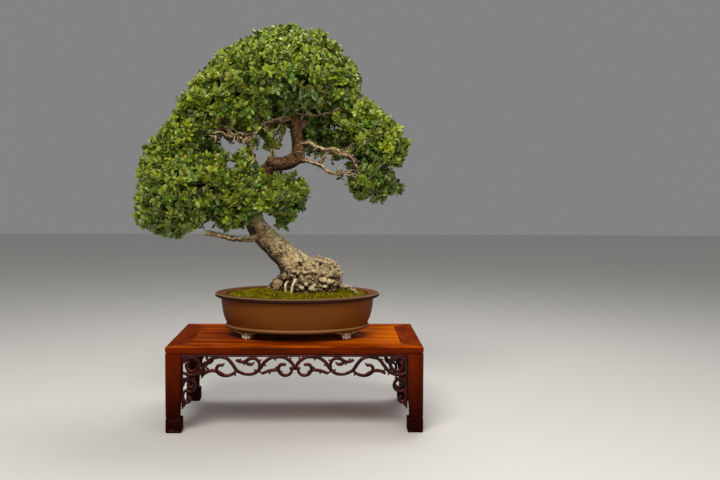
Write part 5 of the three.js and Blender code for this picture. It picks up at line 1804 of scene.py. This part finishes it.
def grow_twigs(anchors, shoots, random):
    """Joins every shoot to the nearest wood, so that twigs fork as they go outwards. Gives
    the nodes, the chains of nodes and how many shoots each node carries."""
    nearest = [min(np.linalg.norm(anchors - base, axis=1)) for base, _ in shoots]
    nodes = np.zeros((len(anchors) + len(shoots) * (MOST_STEPS + 1), 3))
    nodes[:len(anchors)] = anchors
    walked = np.zeros(len(nodes))
    parents = [-1] * len(anchors)
    chains = []

    def grow(chain, spot, length):
        nodes[len(parents)] = spot
        walked[len(parents)] = walked[chain[-1]] + length
        chain.append(len(parents))
        parents.append(chain[-2])

    for index in np.argsort(nearest):
        base, tip = shoots[index]
        count = len(parents)
        gaps = np.linalg.norm(nodes[:count] - base, axis=1)
        start = int(np.argmin(gaps + 0.25 * walked[:count]))
        steps = min(MOST_STEPS, max(1, int(round(gaps[start] / TWIG_STEP))))
        chain = [start]
        middle = (base + nodes[start]) / 2 - np.array([0, 0, 0.06 * gaps[start]])
        for step in range(1, steps + 1):
            share = step / steps
            spot = ((1 - share) ** 2 * nodes[start] + 2 * share * (1 - share) * middle
                    + share ** 2 * base)
            if step < steps:
                spot = spot + random.normal(0, 1.3, 3)
            grow(chain, spot, gaps[start] / steps)
        grow(chain, tip, 60)
        chains.append(chain)
    carried = np.zeros(len(parents))
    for chain in chains:
        carried[chain[-1]] += 1
    for index in range(len(parents) - 1, -1, -1):
        if parents[index] >= 0:
            carried[parents[index]] += carried[index]
    return nodes[:len(parents)], chains, carried


def add_twigs(shape, nodes, chains, carried):
    """Thin tapering twigs along the chains."""
    nodes = np.clip(nodes, *crown_limits(-3))
    for chain in chains:
        line = nodes[chain]
        load = carried[chain]
        load[0] = load[1]
        radii = np.minimum(0.85 * load ** 0.42, 3.6)
        radii[-1] = 0.5
        sides = 5 if load[1] > 6 else 3
        shape.add(*tube(line, radii, sides), crack=0.05, pale=0.5, red=0.3)


def repeated(faces, corners, count):
    """The three-sided faces of many like forms, each with the same number of corners."""
    return (np.arange(count)[:, None, None] * corners + np.array(faces)[None]).reshape(-1, 3)


def add_leaves(shape, shoots, settings, random):
    """Leaves in a spiral up every shoot. A clump of shoots is fresher or duller as a whole. A shoot's
    tint also holds painted light where it faces up and painted shade where it faces down or lies in a
    shaded place.
    """
    bases, ways, ups, sizes, tints = [], [], [], [], []
    clumps = wander([tip for (_, tip), _ in shoots], 38.0, 47)
    for ((base, tip), out), clump in zip(shoots, clumps):
        axis = tip - base
        length = np.linalg.norm(axis)
        axis = axis / max(length, 1e-6)
        side = unit(np.cross(axis, random.normal(size=3)))
        other = np.cross(axis, side)
        count = random.integers(*LEAVES_PER_SHOOT)
        turn = random.uniform(0, 6.28) + GOLDEN_TURN * np.arange(count)
        share = np.linspace(0.12, 1.0, count)
        spoke = np.cos(turn)[:, None] * side + np.sin(turn)[:, None] * other
        lean = 0.25 + 0.75 * share[:, None] ** 2
        way = axis * lean + spoke * (1.0 - 0.45 * share[:, None]) + (0, 0, 0.22)
        ways.append(unit(way + random.normal(0, 0.22, (count, 3))))
        up = 0.5 * out + axis * 0.5 + (0, -0.1, 0.6) + random.normal(0, 0.65, (count, 3))
        ups.append(unit(up))
        bases.append(base + axis * length * share[:, None])
        young = 1 - 0.28 * share ** 3
        sizes.append(settings.length * random.uniform(0.68, 1.3, count) * young)
        # Painted light and shade: shoots that face up get a lighter tint, and those that face down or
        # lie in the shaded places a darker one.
        shade = PAINTED_LEAF_SHADE if in_any(SHADED_LEAF_PLACES, tip[[0, 2]], 0) else 0.0
        fresh = 0.32 + 0.34 * share + 0.2 * max(out[2], -0.6) + 0.6 * clump - shade
        tints.append(fresh + random.normal(0, 0.1) + random.normal(0, 0.17, count))
    base = np.concatenate(bases)
    way = np.concatenate(ways)
    side = unit(np.cross(np.concatenate(ups), way))
    above = np.cross(way, side)
    size = np.concatenate(sizes)
    count = len(base)
    width = random.uniform(0.56, 0.82, count)
    curl = random.uniform(0.5, 2.6, count)
    along, across, rise = LEAF_POINTS.T
    points = (base[:, None] + size[:, None, None] * (
        along[None, :, None] * way[:, None]
        + (across[None] * width[:, None])[..., None] * side[:, None]
        + (rise[None] * curl[:, None])[..., None] * above[:, None]))
    points = np.clip(points.reshape(-1, 3), *crown_limits(2))
    low_left = (base[:, 0] < -220) & (base[:, 2] < 600)
    leaf = {"tint": np.clip(np.concatenate(tints), 0, 1)}
    leaf["blue"] = ((random.random(count) < np.where(low_left, 0.6, 0.24))
                    * random.uniform(0.3, 1, count))
    leaf["old"] = (random.random(count) < 0.03) * random.uniform(0.4, 1.0, count)
    leaf["lush"] = (np.clip(1.8 * wander(base, 30.0, 53) - 0.1, 0, 1)
                    * random.uniform(0.3, 1, count))
    values = {name: np.repeat(numbers, len(along)) for name, numbers in leaf.items()}
    shape.add(points, repeated(LEAF_FACES, len(along), count), across=np.tile(LEAF_ACROSS, count),
              **values)


def crown_limits(stray):
    """The corners of the frame's own box, moved outwards by stray."""
    low = (np.array(CAD_BOX[0]) - MIDDLE) / MM
    high = (np.array(CAD_BOX[1]) - MIDDLE) / MM
    return low - stray, high + stray


def wood_points():
    """Points along the upper trunk and the branches, which carry the twigs."""
    spots = [smooth_path(TRUNK, 14.0)[24:, :3]]
    spots += [smooth_path(limb, 9.0)[3:, :3] for limb in LIMBS]
    return np.concatenate(spots)


def build_foliage(settings):
    """The clouds of leaves, each on forking twigs that grow from the branches. The leaves'
    upper sides keep facing the way they were laid."""
    names = sorted(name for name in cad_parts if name.startswith("foliage_"))
    clouds = [Cloud(name) for name in names]
    sprays = [Spray(*spray) for spray in SPRAYS]
    homes = [min(clouds, key=lambda cloud: np.linalg.norm((spray.centre - cloud.centre) / cloud.half))
             for spray in sprays]
    material = leaf_surface(settings)
    wood = wood_points()
    twigs = [Shape("crack", "pale", "red", "cut") for _ in range(2)]
    for index, cloud in enumerate(clouds):
        random = np.random.default_rng(100 + index)
        pairs = []
        outs = []
        for form in [cloud] + [spray for spray, home in zip(sprays, homes) if home is cloud]:
            for tip, out in shoot_places(form, clouds + sprays, settings.spacing, random):
                away = unit(tip - form.centre)
                way = unit(0.55 * out + 0.3 * away + (0, 0, 0.42) + random.normal(0, 0.32, 3))
                pairs.append((tip - way * random.uniform(*SHOOT_LENGTH), tip))
                outs.append(out)
        add_twigs(twigs[index % 2], *grow_twigs(wood, pairs, random))
        leaves = Shape("tint", "blue", "old", "lush", "across")
        add_leaves(leaves, list(zip(pairs, outs)), settings, random)
        title = cloud.name.replace("foliage", "leaves")
        finish_piece(leaves.mesh(title), title, material, [cloud.name], outwards=False)
    for index, shape in enumerate(twigs):
        shape.piece(f"twigs_{index + 1}", bpy.data.materials["oak bark"], "bark",
                    ["trunk_and_branches"])


# Floor, light and camera
CAMERA_AT = (89.0, -2712.0, 670.0)
CAMERA_PAN = math.radians(-1.85)
CAMERA_TILT = math.radians(90 - 3.6)
CAMERA_ROLL = math.radians(0.3)
FLOOR_REACH = 9.0
FLOOR_LEVEL = -0.0004


def soft_light(name, at, aim, size, power, shade):
    """A large soft light that shines at a point; places are in metres."""
    lamp = bpy.data.lights.new(name, "AREA")
    lamp.shape = "RECTANGLE"
    lamp.size, lamp.size_y = size
    lamp.energy = power
    lamp.color = shade
    made = placed(name, lamp)
    made.location = at
    made.rotation_euler = (Vector(aim) - Vector(at)).to_track_quat("-Z", "Y").to_euler()


def build_stage(settings):
    """A plain pale floor, soft studio light and the camera."""
    scene = bpy.context.scene
    mesh = bpy.data.meshes.new("floor")
    corners = [(x * FLOOR_REACH, y * FLOOR_REACH, FLOOR_LEVEL)
               for x, y in ((-1, -1), (1, -1), (1, 1), (-1, 1))]
    mesh.from_pydata(corners, [], [(0, 1, 2, 3)])
    floor = placed("floor", mesh)
    dusty = tuple(0.96 * part for part in settings.floor)
    mesh.materials.append(grainy("floor", dusty, settings.floor, 3.0, 0.6, 0.0))
    soft_light("key", (-0.5, -2.3, 2.7), (0, 0, 0.55), (1.5, 1.1), settings.key_power,
               (1.0, 0.96, 0.9))
    soft_light("fill", (1.5, -2.4, 1.1), (0, 0, 0.6), (1.6, 1.6), settings.fill_power,
               (1.0, 0.98, 0.95))
    soft_light("top", (0.5, 0.9, 2.6), (0, 0, 0.6), (1.6, 1.2), settings.key_power * 0.4,
               (1.0, 0.98, 0.94))
    world = bpy.data.worlds.new("studio")
    scene.world = world
    world.use_nodes = True
    sky = world.node_tree.nodes["Background"]
    sky.inputs["Color"].default_value = (0.95, 0.95, 0.95, 1.0)
    sky.inputs["Strength"].default_value = 0.24
    lens = bpy.data.cameras.new("camera")
    lens.lens = settings.lens
    lens.sensor_width = 36.0
    lens.clip_end = 60.0
    camera = placed("camera", lens)
    turn = (Matrix.Rotation(CAMERA_PAN, 4, "Z") @ Matrix.Rotation(CAMERA_TILT, 4, "X")
            @ Matrix.Rotation(CAMERA_ROLL, 4, "Z"))
    camera.matrix_world = Matrix.Translation(Vector(in_frame(CAMERA_AT))) @ turn
    scene.camera = camera
    scene.view_settings.view_transform = "Standard"


# Operators, one for each piece or group of like pieces

class BONSAI_OT_stage(bpy.types.Operator):
    """Add the floor, the soft lights and the camera"""
    bl_idname = "bonsai.stage"
    bl_label = "Stage"

    def execute(self, context):
        build_stage(context.scene.bonsai_stage)
        return {"FINISHED"}


class BONSAI_OT_stand_top(bpy.types.Operator):
    """Add the stand's mitred rails and finish its panel and battens"""
    bl_idname = "bonsai.stand_top"
    bl_label = "Stand top"

    def execute(self, context):
        build_stand_top(context.scene.bonsai_stand)
        return {"FINISHED"}


class BONSAI_OT_legs(bpy.types.Operator):
    """Add the stand's four legs with their carved hooves"""
    bl_idname = "bonsai.legs"
    bl_label = "Legs"

    def execute(self, context):
        build_legs(context.scene.bonsai_stand)
        return {"FINISHED"}


class BONSAI_OT_carving(bpy.types.Operator):
    """Add the openwork aprons and corner brackets"""
    bl_idname = "bonsai.carving"
    bl_label = "Scrollwork"

    def execute(self, context):
        build_carving(context.scene.bonsai_stand)
        return {"FINISHED"}


class BONSAI_OT_pot(bpy.types.Operator):
    """Add the oval pot with its lip, bead, feet and drain holes"""
    bl_idname = "bonsai.pot"
    bl_label = "Pot"

    def execute(self, context):
        build_pot(context.scene.bonsai_pot)
        return {"FINISHED"}


class BONSAI_OT_drain_parts(bpy.types.Operator):
    """Finish the drain screens and their wire clips"""
    bl_idname = "bonsai.drain_parts"
    bl_label = "Drain screens and clips"

    def execute(self, context):
        build_drain_parts()
        return {"FINISHED"}


class BONSAI_OT_soil(bpy.types.Operator):
    """Add the gritty root ball"""
    bl_idname = "bonsai.soil"
    bl_label = "Soil"

    def execute(self, context):
        build_soil()
        return {"FINISHED"}


class BONSAI_OT_moss(bpy.types.Operator):
    """Add the cushions of moss over the soil"""
    bl_idname = "bonsai.moss"
    bl_label = "Moss"

    def execute(self, context):
        build_moss(context.scene.bonsai_moss)
        return {"FINISHED"}


class BONSAI_OT_trunk(bpy.types.Operator):
    """Add the trunk, the burl and the roots"""
    bl_idname = "bonsai.trunk"
    bl_label = "Trunk"

    def execute(self, context):
        build_trunk(context.scene.bonsai_tree)
        return {"FINISHED"}


class BONSAI_OT_branches(bpy.types.Operator):
    """Add the crooked branches; the trunk comes first"""
    bl_idname = "bonsai.branches"
    bl_label = "Branches"

    def execute(self, context):
        build_branches()
        return {"FINISHED"}


class BONSAI_OT_foliage(bpy.types.Operator):
    """Add the clouds of leaves with their twigs; the trunk comes first"""
    bl_idname = "bonsai.foliage"
    bl_label = "Foliage"

    def execute(self, context):
        build_foliage(context.scene.bonsai_leaves)
        return {"FINISHED"}


OPERATORS = [
    BONSAI_OT_stage, BONSAI_OT_stand_top, BONSAI_OT_legs, BONSAI_OT_carving, BONSAI_OT_pot,
    BONSAI_OT_drain_parts, BONSAI_OT_soil, BONSAI_OT_moss, BONSAI_OT_trunk,
    BONSAI_OT_branches, BONSAI_OT_foliage,
]


class BONSAI_PT_pieces(bpy.types.Panel):
    """The pieces of the bonsai, in the order in which they are built"""
    bl_idname = "BONSAI_PT_pieces"
    bl_label = "Live Oak Bonsai"
    bl_space_type = "VIEW_3D"
    bl_region_type = "UI"
    bl_category = "Bonsai"

    def draw(self, context):
        for operator in OPERATORS:
            self.layout.operator(operator.bl_idname)
        for name, group in SETTINGS.items():
            box = self.layout.box()
            for title in group.__annotations__:
                box.prop(getattr(context.scene, name), title)


def register():
    """Registers the settings, operators and panel."""
    for name, group in SETTINGS.items():
        bpy.utils.register_class(group)
        setattr(bpy.types.Scene, name, PointerProperty(type=group))
    for operator in OPERATORS:
        bpy.utils.register_class(operator)
    bpy.utils.register_class(BONSAI_PT_pieces)


def unregister():
    """Takes them away again."""
    bpy.utils.unregister_class(BONSAI_PT_pieces)
    for operator in reversed(OPERATORS):
        bpy.utils.unregister_class(operator)
    for name, group in SETTINGS.items():
        delattr(bpy.types.Scene, name)
        bpy.utils.unregister_class(group)


def main():
    """Builds the stage and every piece."""
    register()
    for operator in OPERATORS:
        group, name = operator.bl_idname.split(".")
        getattr(getattr(bpy.ops, group), name)()


if __name__ == "__main__":
    main()
